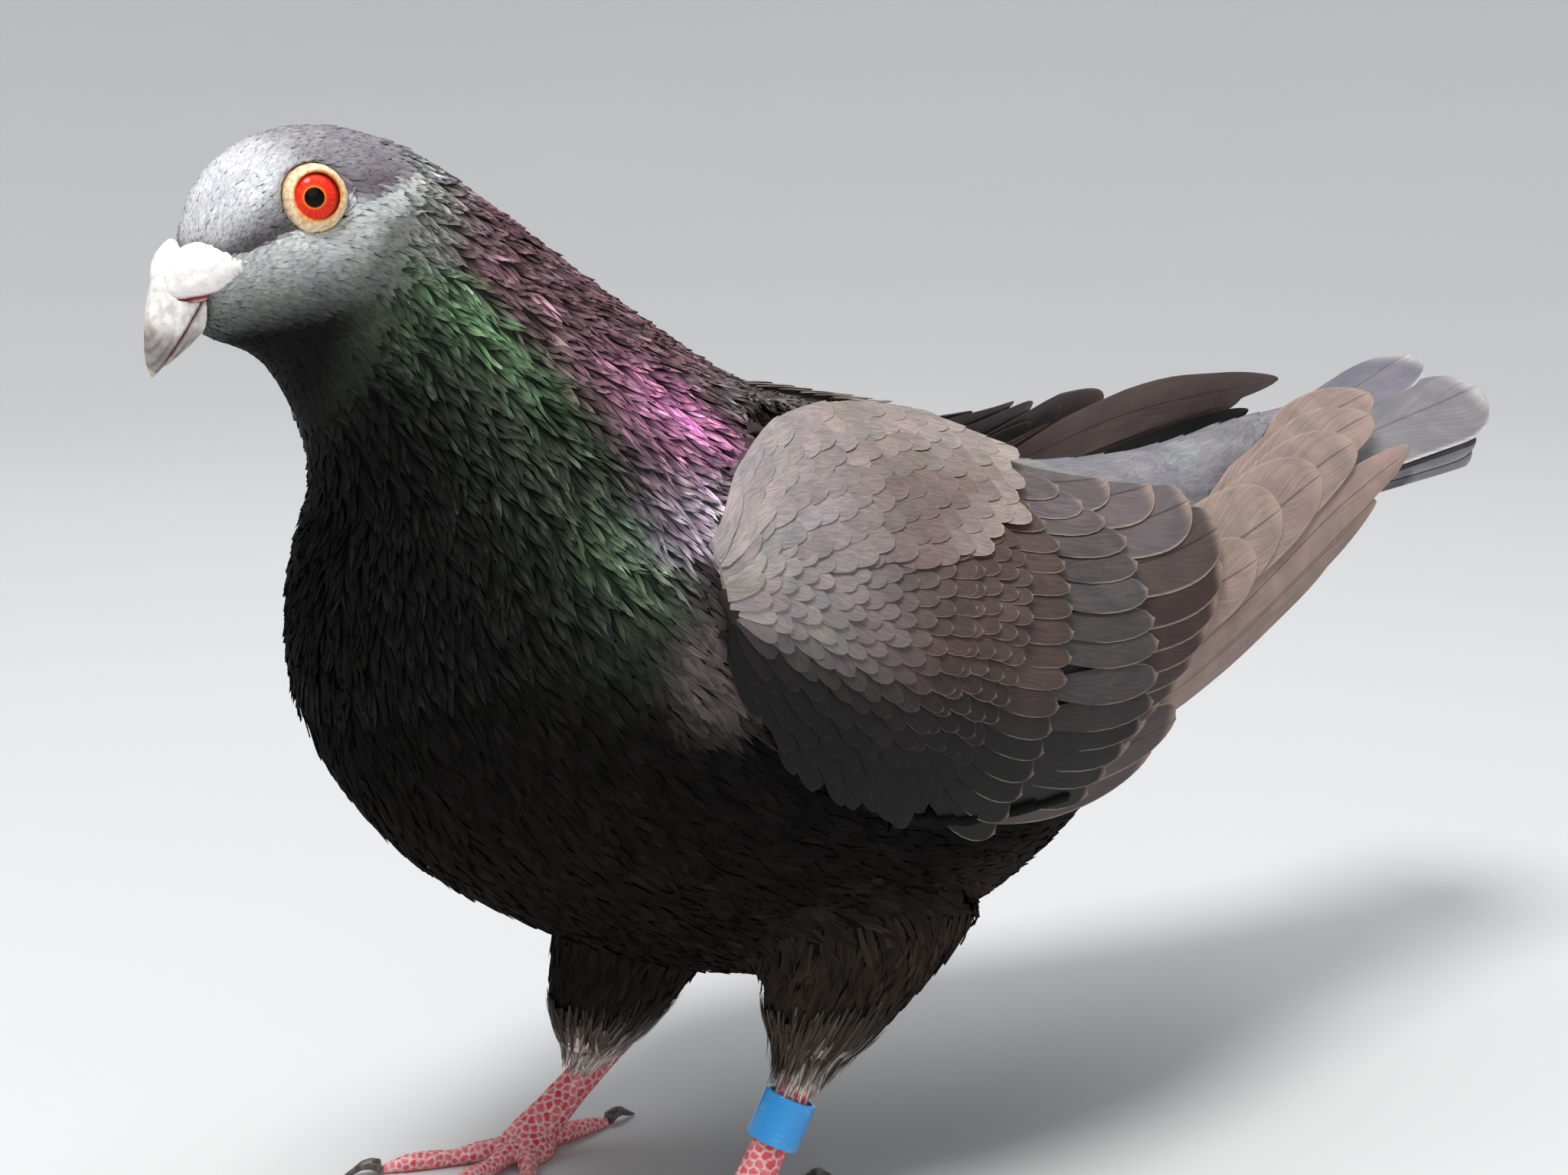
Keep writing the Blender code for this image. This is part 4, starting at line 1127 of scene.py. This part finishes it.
def make_coverts(name, side, material):
    """Rows of lesser coverts from the bend of the wing back, then the median and the greater coverts."""
    group = empty_group()
    for row in range(LESSER_ROWS, -1, -1):
        line = LESSER_TIPS - (0, LESSER_STEP * row)
        tip = down_a_line(line, 0.02, 1.03, LESSER_APART - 0.03 * row)
        covered = tip[:, 1] < np.interp(tip[:, 0], *SCAPULAR_EDGE.T) - 0.05
        tip = tip[(tip[:, 0] > WING_FRONT + 6) & ~covered] + RNG.normal(0, (0.5, 0.004), (1, 2))
        y, v = tip.T
        fan = 0.12 + 0.55 * smooth((v - 0.3) / 0.5) + 0.55 * smooth((v - 0.5) / 0.4) * smooth((128 - y) / 36)
        rear = smooth((y - 98) / 30)
        tint = varied(wing_tint(y, v), 0.07)
        edge = 0.04 + 0.56 * rear * smooth((v - 0.25) / 0.2) * (1 - smooth((v - 0.70) / 0.15))
        add_row(group, tip, fan, 10.5, 2.9, (2.3, 0.50 - 0.012 * row), tint, edge)
    tip = down_a_line(MEDIAN_TIPS, 0.16, 1.03, MEDIAN_APART)
    fan = 0.10 + 0.35 * smooth((tip[:, 1] - 0.5) / 0.5)
    tint = varied(wing_tint(tip[:, 0] + 2, tip[:, 1] - 0.05), 0.10)
    add_row(group, tip, fan, 20, 3.4, (2.7, 0.95), tint, 0.62)
    tip = down_a_line(GREATER_TIPS, 0.12, 1.03, GREATER_APART)
    fan = 0.02 + 0.25 * smooth((tip[:, 1] - 0.75) / 0.25)
    tint = mixed(COVERT_GREATER, TERTIAL, smooth((0.36 - tip[:, 1]) / 0.2))
    # The lower greater coverts go dark: partly dark plumage, partly painted shade.
    tint = mixed(tint, COVERT_DARK_AND_SHADE, smooth((tip[:, 1] - 0.64) / 0.2))
    add_row(group, tip, fan, 32, 3.9, (2.9, 1.5), varied(tint, 0.08), 0.75)
    group["soft"] = 0.7
    return wing_vanes("coverts_" + name, side, group, (0.55, 2.6), (9, 9), material)


def make_scapulars(name, side, material):
    """Broad feathers over the top of the wing; the last ones, along the group's edge, have cream tips."""
    group = empty_group()
    for row, place in enumerate(SCAPULAR_ROWS):
        low = np.interp(place, *SCAPULAR_EDGE.T)
        line = np.array(((-0.2, place + 2), (0.1, place), (0.6, place - 1)))
        tip = down_a_line(line, 0.0, low, SCAPULARS_APART)
        y, v = tip.T
        last = smooth((v - low + 0.13) / 0.08) * smooth((y - 126) / 6) + smooth((y - 151) / 3)
        tint = mixed(SCAPULAR, MANTLE * 1.1, smooth((0.22 - v) / 0.18))
        tint = mixed(tint, COVERT_FRONT, smooth((124 - y) / 30))
        tint = mixed(varied(tint, 0.07), SCAPULAR_TIP, 0.28 * np.minimum(last, 1))
        edge = 0.06 + 0.30 * smooth((y - 108) / 25) + 0.7 * np.minimum(last, 1)
        fan = np.full(len(tip), 0.16)
        add_row(group, tip, fan, 14, 3.5, (1.3, 0.15 - 0.005 * row), tint, edge)
    group.update(soft=0.7, tilt=0.12, roll=0.1)
    return wing_vanes("scapulars_" + name, side, group, (0.55, 2.4), (9, 9), material)


def make_secondaries(name, side, material):
    """The broad tertials, then the secondaries, each one over the next below."""
    ends = np.array(SECONDARY_ENDS if side > 0 else RIGHT_TERTIALS + SECONDARY_ENDS)
    k = np.arange(len(ends))
    tip = ends[:, :2] + (0, 0.04 * (side < 0))
    # The upper ones, and the last two, which close the lower edge, are paler. On the right wing the upper
    # ones take the pale colour fully, as painted light.
    shade = smooth((0.46 - tip[:, 1]) / 0.25) + (k >= len(ends) - 2) * 0.2 + (side < 0) * (tip[:, 1] < 0.4)
    # Painted light: the right wing's feathers, seen from their shaded inner side, are made a fifth brighter.
    bright = 1 if side > 0 else 1.2
    group = {
        "tip": tip, "root": tip - np.stack((np.full(len(ends), 60.0), 0.02 + 0.05 * smooth(tip[:, 1])), 1),
        "width": ends[:, 2], "deep": np.stack((4.4 + 0.06 * k, 2.3 + 0.16 * k), 1),
        "tint": varied(mixed(SECONDARY, TERTIAL, shade), 0.05) * bright,
        "edge": np.full(len(ends), 0.8), "bow": 0.03, "tilt": 0.22,
    }
    return wing_vanes("secondary_vanes_" + name, side, group, (0.72, 3.4), (22, 13), material)


def make_primaries(name, side, material, layer):
    """The primaries, the innermost on top, their tips stepped along the wing's point.

    Layer 0 is the feathers themselves and layer 2 a near-black sheet under them, as painted shade on their
    inner faces. On the right wing layer 2 hangs lower, and layer 1 covers it from outside.
    """
    ends = np.array(PRIMARY_ENDS)
    k = np.arange(len(ends))
    below = 0.25 * layer
    drop = 0.27 * (layer > 0) * (side < 0)
    pull = np.array((-5.0, 0.07)) * (side < 0)
    # Layer 2 is painted shade: a near-black sheet with no rim.
    inner = layer == 2
    tint = np.broadcast_to(PRIMARY_SHADE_SHEET if inner else PRIMARY, (len(ends), 3))
    group = {
        "root": ends[:, :2] + (0, drop), "tip": ends[:, 2:4] + pull + (-below, drop),
        "width": ends[:, 4] - below, "deep": np.stack((5.6 + 0.16 * k + below, 4.9 + 0.26 * k + below), 1),
        "tint": varied(tint, 0.06), "edge": np.full(len(ends), 0.0 if inner else 0.85),
        "bow": 0.03, "tilt": 0.12,
    }
    kind = ("primary_vanes_", "primary_covers_", "primary_shade_sheets_")[layer]
    return wing_vanes(kind + name, side, group, (0.62, 3.0), (30, 13), material)


def make_wings():
    covert = feather_material("covert_feathers", 4.0, 9.0, 0.20, FRINGE, shaft=0.2, slope=7.0)
    flight = feather_material("flight_feathers", 2.0, 60.0, 0.14, FRINGE, shaft=0.9, slope=22.0, rough=0.5)
    for name, side in SIDES:
        make_coverts(name, side, covert)
        make_scapulars(name, side, covert)
        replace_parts(make_secondaries(name, side, flight), "secondaries_" + name)
        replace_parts(make_primaries(name, side, flight, 0), "primaries_" + name)
        # A near-black sheet under the primaries, painted shade for their inner faces.
        make_primaries(name, side, flight, 2)
    make_primaries("right", -1, flight, 1)


# Tail


TAIL_RIGHT = rgb(0.150, 0.148, 0.166)
TAIL_LEFT = rgb(0.160, 0.156, 0.170)


def make_tail():
    """Twelve tail feathers, the middle pair on top."""
    flight = feather_material("tail_feathers", 2.0, 60.0, 0.10, (0.60, 0.58, 0.58), shaft=0.6, slope=22.0)
    pairs = 6
    k = np.repeat(np.arange(pairs), 2)
    side = np.tile((1.0, -1.0), pairs)
    top = k == 0
    centre = side * np.where(top, 0.42, 0.25 + 0.09 * k)
    t, a = vane_grid(26, 13)
    end = TAIL_END + 0.6 - TAIL_ROUNDING * np.abs(centre) ** 3 - 1.2 * k
    y = TAIL_START + (end - TAIL_START)[:, None, None] * t + 0 * a
    half_tail = spline(TAIL_ROWS, at_first(TAIL_ROWS, y))[..., 2]
    spread = centre[:, None, None] * (0.5 + 0.5 * t)
    half = np.where(top, 11.5, 9.0)[:, None, None]
    across = np.clip(spread + a * outline(t, 0.8, 2.8, 0.5) * half / half_tail, -1, 1)
    depth = 0.1 + 0.38 * k[:, None, None] + 0.1 * (side[:, None, None] > 0) + 0.3 * a * a
    points = tail_points(y, across, np.broadcast_to(depth, y.shape))
    colour = np.where((side < 0)[:, None], TAIL_RIGHT, TAIL_LEFT) * (1 - 0.06 * k)[:, None]
    patch = np.stack((centre, end), 1)
    piece = vanes(
        "tail_vanes", points, a, t, varied(colour, 0.05), np.where(top, 0.8, 0.12), patch, flight
    )
    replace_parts(piece, "tail")


# Eyes and face


def revolved(name, profile, sides, closed):
    """A surface of revolution about Z from a profile of (radius, height)."""
    bm = bmesh.new()
    rows = []
    for k in range(sides):
        angle = TAU * k / sides
        rows.append([bm.verts.new((r * math.cos(angle), r * math.sin(angle), z)) for r, z in profile])
    last = len(profile) if closed else len(profile) - 1
    for here, after in zip(rows, rows[1:] + rows[:1]):
        for j in range(last):
            nxt = (j + 1) % len(profile)
            bm.faces.new((here[j], after[j], after[nxt], here[nxt]))
    bmesh.ops.remove_doubles(bm, verts=bm.verts, dist=1e-7)
    bmesh.ops.recalc_face_normals(bm, faces=bm.faces)
    mesh = bpy.data.meshes.new(name)
    bm.to_mesh(mesh)
    bm.free()
    return mesh


def seat(piece, node, axis):
    """Moves a piece to the middle of a CAD node, with its z along an axis."""
    turn = axis.to_track_quat("Z", "Y").to_matrix().to_4x4()
    piece.matrix_world = Matrix.Translation(middle(node)) @ turn
    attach(piece, "root")


def eye_material():
    """A black pupil in an orange ring, then a bright red iris with a dark rim, under a wet surface."""
    n = Nodes("eye")
    split = n.add("SeparateXYZ", {0: n.place()})
    x, y = split.outputs[0], split.outputs[1]
    radius = n.math("SQRT", n.math("ADD", n.times(x, x), n.times(y, y)))
    angle = n.math("ARCTAN2", y, x)
    polar = n.add("CombineXYZ", {0: n.times(angle, 9.0), 1: n.times(radius, 500.0)})
    rays = n.noise(polar, 1.0, 3.0)
    wobble = n.math("MULTIPLY_ADD", rays, 0.0005, -0.00025)
    edge = n.math("ADD", radius, wobble)
    red = n.mix(n.ramp(rays, 0.35, 0.7), (0.80, 0.020, 0.010), (0.98, 0.060, 0.020))
    colour = n.mix(n.ramp(edge, 0.00155, 0.0020), (0.90, 0.24, 0.02), red)
    colour = n.mix(n.ramp(edge, 0.0031, 0.0038), colour, (0.12, 0.003, 0.003))
    colour = n.mix(n.ramp(radius, 0.00145, 0.00160), (0.0012, 0.001, 0.001), colour)
    return n.finish(colour, 0.4, Coat_Weight=0.22, Coat_Roughness=0.03, Specular_IOR_Level=0.05)


def lid_mesh(name, side):
    """The bare skin round the eye: a flat wrinkled ring, widest behind and below."""
    around = np.linspace(0, TAU, 144, endpoint=False)[:, None]
    share = np.linspace(0, 1, 12)[None, :]
    # On the lid's own plane, x points up and y points forward on the left side, back on the right.
    up, forward = np.cos(around), np.sin(around) * side
    inner = LID_INNER - 0.2
    corner = np.exp(-(((up + 0.55) ** 2 + (forward + 0.83) ** 2) / 0.35))
    outer = 5.05 + 0.15 * np.maximum(up, 0) + 0.1 * np.maximum(forward, 0) + 0.9 * corner
    outer = outer + 0.05 * np.sin(5 * around + 1) + 0.03 * np.sin(17 * around)
    radius = inner + (outer - inner) * share
    x, y = radius * np.cos(around), radius * np.sin(around)
    # Its opening lies a little forward.
    y = y + 0.35 * side * (1 - share)
    seat = math.sqrt((EYE_RADIUS / MM) ** 2 - inner**2)
    rise = np.interp(share, (0, 0.09, 0.22, 0.5, 0.8, 1), (-0.75, 0.10, 0.26, 0.05, -0.75, -1.9))
    folds = np.sin(25 * around + 3 * share) * np.sin(9 * share + 2 * np.sin(5 * around))
    folds = folds + 0.7 * np.sin(43 * around + 3)
    z = seat + rise + 0.035 * folds * np.sin(np.pi * share)
    points = np.stack(np.broadcast_arrays(x, y, z), -1)
    # A skirt below its rim hides the globe from behind.
    skirt = points[:, -1:] * (1.02, 1.02, 0)
    points = np.concatenate((points, skirt - (0, 0, 0.6)), 1)
    share = np.append(share, ((1.0,),), 1)
    rows, columns = points.shape[:2]
    grid = np.arange(rows * columns).reshape(rows, columns)
    after = np.roll(grid, -1, 0)
    faces = np.stack((grid[:, :-1], grid[:, 1:], after[:, 1:], after[:, :-1]), -1).reshape(-1, 4)
    mesh = bpy.data.meshes.new("lid_" + name)
    mesh.from_pydata((points.reshape(-1, 3) * MM).tolist(), [], faces[:, ::-1].tolist())
    rim, skin = np.array((0.90, 0.34, 0.08)), np.array((0.95, 0.76, 0.50))
    tint = mixed(rim, skin, smooth((share - 0.12) / 0.3) * np.ones_like(up))
    tint = mixed(tint, skin * (0.75, 0.6, 0.5), smooth((share - 0.86) / 0.14) * np.ones_like(up))
    tint[:, -1] = CROWN_BACK
    colour_layer(mesh, tint.reshape(-1, 3))
    return mesh


def make_eyes():
    eye = eye_material()
    dark, soft = (0.78, 0.60, 0.44), {"grain": (4.0, 0.6), "span": (0.38, 0.56), "Subsurface_Weight": 0.05}
    lid = tinted("lid", 1300.0, dark, 0.4, 0.6, **soft)
    arc = np.linspace(0, np.pi, 33)
    ball = [(EYE_RADIUS * math.sin(s), EYE_RADIUS * math.cos(s)) for s in arc]
    for name, side in SIDES:
        globe = new_object("eyeball_" + name, revolved("eyeball_" + name, ball, 64, False), eye)
        seat(globe, "eye_" + name, eye_axis(side, GAZE_FORWARD))
        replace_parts(globe, "eye_" + name)
        ring = new_object("lid_" + name, lid_mesh(name, side), lid)
        seat(ring, "eye_" + name, eye_axis(side))
        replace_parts(ring, "eyelid_" + name)


# Lines seen from the side, each from one (y, z) to another.
NOSTRIL = np.array(((-2.6, 171.1), (4.5, 172.6)))
MOUTH_LINE = np.array(((2.5, 172.3), (-11.25, 150.1)))
CHALK = rgb(0.93, 0.92, 0.90)
CERE_PINK = rgb(0.70, 0.36, 0.34)
CERE_DEEP = rgb(0.16, 0.025, 0.025)
HORN_PINK = rgb(0.66, 0.60, 0.58)
HORN_GREY = rgb(0.12, 0.11, 0.11)
HORN_TIP = rgb(0.70, 0.62, 0.46)
MOUTH = rgb(0.20, 0.08, 0.08)


def bill_colours(half, points, share):
    """White at the base, pinkish horn with grey streaks towards the tip, and a dark reddish mouth line."""
    off = from_line(head_places(points)[:, 1:], *MOUTH_LINE)
    streaks = smooth((np.sin(5.5 * off + 1.2) + 0.5 * np.sin(9 * off + 6 * share) + 0.2) / 0.8)
    horn = {
        "upper": (
            (HORN_PINK, smooth((share - 0.42) / 0.2)),
            (HORN_GREY, smooth((share - 0.46) / 0.25) * (0.6 + 0.25 * streaks)),
            (HORN_TIP, smooth((share - 0.93) / 0.04)),
        ),
        "lower": (
            (HORN_PINK, smooth((share - 0.2) / 0.3)),
            (HORN_GREY, smooth((share - 0.3) / 0.3) * (0.3 + 0.35 * streaks)),
        ),
    }
    mouth = 0.85 * bump_at(off, 0, 0.45) * (1 - smooth((share - 0.7) / 0.25))
    return painted(CHALK, *horn[half], (MOUTH, mouth))


def make_bill():
    cere = tinted("cere", 1400.0, (0.86, 0.84, 0.83), 0.5, 0.8)
    bill = tinted("bill", 700.0, (0.70, 0.66, 0.64), 0.4, 0.4)
    for name, _ in SIDES:
        mesh = remeshed("cere_" + name, ("cere_" + name,), voxel=0.26, grow=0, rounds=6, shrink=-0.28)
        points, normals = vertex_places(mesh), vertex_normals(mesh)
        lumps = np.sin(points[:, 0] * 1.6 + 1) * np.sin(points[:, 1] * 1.3) * np.sin(points[:, 2] * 1.7 + 2)
        slit = from_line(head_places(points)[:, 1:], *NOSTRIL)
        points = points + normals * (0.10 * lumps - 0.35 * bump_at(slit, 0, 0.45))[:, None]
        set_places(mesh, inside_box(points))
        pink, deep = 1 - smooth((slit - 0.45) / 0.7), 1 - smooth((slit - 0.15) / 0.35)
        colour_layer(mesh, painted(CHALK, (CERE_PINK, pink), (CERE_DEEP, deep)))
        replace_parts(new_object("cere_skin_" + name, mesh, cere), "cere_" + name)
    forward = Matrix.Rotation(HEAD_TURN, 3, "Z") @ Vector((0, -math.cos(BILL_SLOPE), -math.sin(BILL_SLOPE)))
    for half in ("upper", "lower"):
        mesh = remeshed("bill_" + half, ("bill_" + half,), voxel=0.20, grow=0, rounds=8, shrink=-0.08)
        points = inside_box(vertex_places(mesh))
        set_places(mesh, points)
        along = points @ np.array(forward)
        share = (along - along.min()) / (along.max() - along.min())
        colour_layer(mesh, bill_colours(half, points, share))
        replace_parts(new_object("horn_" + half, mesh, bill), "bill_" + half)


# Legs, claws and ring


SCALE_RED = rgb(0.76, 0.030, 0.055)
SCALE_PINK = rgb(0.84, 0.20, 0.23)
SCALE_NET = rgb(0.95, 0.70, 0.69)
# How many scales are tried on a leg, and their least spacing in mm above and below the ankle.
SCALE_TRIES = 9000
SHANK_SCALE, TOE_SCALE, ANKLE = 1.35, 1.05, 7
TOES = ("inner", "middle", "outer", "hind")


def make_legs():
    """Shank, ball and toes under one skin, its scales raised cells in a pale net."""
    skin = tinted("leg", 1100.0, (0.75, 0.66, 0.66), 0.4, 0.42, Subsurface_Weight=0.05)
    claw = claw_material()
    for name, _ in SIDES:
        nodes = [f"shank_{name}", f"foot_{name}"] + [f"toe_{toe}_{name}" for toe in TOES]
        mesh = remeshed("leg_" + name, nodes, voxel=0.36, grow=0.2, rounds=7, shrink=0.05)
        surface = Surface(mesh)
        centres, _ = surface.scatter(SCALE_TRIES)
        size = np.where(centres[:, 2] > ANKLE, SHANK_SCALE, TOE_SCALE)
        centres = centres[thinned(centres, size)]
        tree = tree_of(centres)
        points, normals = surface.points, surface.normals
        near = [tree.find_n(point, 2) for point in points]
        index = np.array([pair[0][1] for pair in near])
        inset = np.array([pair[1][2] for pair in near]) - np.array([pair[0][2] for pair in near])
        rise = 0.20 * smooth(inset / 0.45) - 0.06
        set_places(mesh, inside_box(points + normals * rise[:, None]))
        cell = mixed(SCALE_RED, SCALE_PINK, RNG.random(len(centres))[index])
        colour_layer(mesh, mixed(SCALE_NET, cell, smooth((inset - 0.12) / 0.35)))
        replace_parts(new_object("leg_skin_" + name, mesh, skin), *nodes)
        for toe in TOES:
            node = f"claw_{toe}_{name}"
            horn = remeshed(node, (node,), voxel=0.2, grow=0, rounds=6, shrink=-0.12)
            set_places(horn, inside_box(vertex_places(horn)))
            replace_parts(new_object(f"nail_{toe}_{name}", horn, claw), node)


def claw_material():
    n = Nodes("claw")
    streaks = n.noise(n.place(), 900.0, 4.0)
    colour = n.mix(n.ramp(streaks, 0.3, 0.7), (0.05, 0.042, 0.040), (0.15, 0.12, 0.11))
    n.bump(streaks, 0.4, 0.0002)
    return n.finish(colour, 0.35)


def ring_material():
    """Moulded blue plastic, scuffed a little paler."""
    n = Nodes("ring")
    scuffs = n.noise(n.add("Mapping", {"Vector": n.place(), "Scale": (300, 300, 900)}), 1.0, 5.0, 0.7)
    colour = n.mix(n.ramp(scuffs, 0.55, 0.75), (0.022, 0.30, 0.74), (0.10, 0.46, 0.84))
    n.bump(scuffs, 0.25, 0.0001)
    return n.finish(colour, 0.32, Coat_Weight=0.3, Coat_Roughness=0.15)


def make_ring():
    half, bore, bevel = RING_LENGTH / 2, RING_RADIUS - RING_WALL, 0.3 * MM
    outer, inner, top = RING_RADIUS - bevel, bore + bevel, half - bevel
    profile = []
    for quarter, (radius, height) in enumerate(((outer, top), (inner, top), (inner, -top), (outer, -top))):
        for s in np.linspace(0, np.pi / 2, 6):
            angle = quarter * np.pi / 2 + s
            profile.append((radius + bevel * math.cos(angle), height + bevel * math.sin(angle)))
    band = new_object("ring_band", revolved("ring_band", profile, 128, True), ring_material())
    foot = middle("foot_left")
    foot.z = FOOT_HEIGHT
    seat(band, "leg_ring", middle("leg_ring") - foot)
    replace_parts(band, "leg_ring")


# Stage

STAGE_RADIUS, STAGE_BEND, STAGE_HEIGHT = 2.6, 1.6, 2.4


def make_stage():
    """A pale round sweep: a floor that curves up into a wall all the way round."""
    profile = [(0.0001, 0.0), (STAGE_RADIUS - STAGE_BEND, 0.0)]
    for s in np.linspace(0, np.pi / 2, 24)[1:]:
        out, up = math.sin(s), 1 - math.cos(s)
        profile.append((STAGE_RADIUS - STAGE_BEND + STAGE_BEND * out, STAGE_BEND * up))
    profile.append((STAGE_RADIUS, STAGE_HEIGHT))
    mesh = revolved("sweep", profile, 96, False)
    mesh.shade_smooth()
    n = Nodes("sweep")
    cloud = n.noise(n.place(), 3.0, 2.0)
    pale = n.mix(cloud, (0.64, 0.645, 0.65), (0.67, 0.675, 0.68))
    mesh.materials.append(n.finish(pale, 0.9, Specular_IOR_Level=0.1))
    sweep = linked("sweep", mesh)


# Each light's name, place, size in metres, power in watts and colour.
LIGHTS = (
    ("key", (0.30, -0.55, 1.45), 0.5, 19, (1.0, 0.985, 0.96)),
    ("sky", (-0.2, 0.25, 1.9), 2.0, 17, (0.95, 0.97, 1.0)),
    ("fill", (1.5, -0.7, 0.9), 1.0, 3, (1.0, 1.0, 1.0)),
)


def make_lights():
    """Soft round lights that face the bird's middle, in a pale surround."""
    heart = Vector((0, 0, 0.11))
    for name, place, size, power, colour in LIGHTS:
        light = bpy.data.lights.new(name, "AREA")
        light.shape = "DISK"
        light.size = size
        light.energy = power
        light.color = colour
        lamp = linked(name, light)
        lamp.location = place
        lamp.rotation_euler = (heart - Vector(place)).to_track_quat("-Z", "Y").to_euler()
    world = bpy.data.worlds.new("world")
    bpy.context.scene.world = world
    world.use_nodes = True
    world.node_tree.nodes["Background"].inputs["Color"].default_value = (0.86, 0.88, 0.90, 1)
    world.node_tree.nodes["Background"].inputs["Strength"].default_value = 0.4


def make_camera():
    data = bpy.data.cameras.new("camera")
    data.sensor_width = SENSOR
    data.lens = LENS
    data.clip_start = 0.01
    camera = linked("camera", data)
    camera.location = CAMERA_PLACE + SHIFT
    camera.rotation_euler = (math.pi / 2 - CAMERA_HEIGHT, 0, CAMERA_AZIMUTH)
    bpy.context.scene.camera = camera


make_camera()
make_stage()
make_lights()
skin = make_skin()
make_coat(skin)
make_cuffs(skin)
make_wings()
make_tail()
make_eyes()
make_bill()
make_legs()
make_ring()
bpy.context.scene.view_settings.view_transform = "Standard"
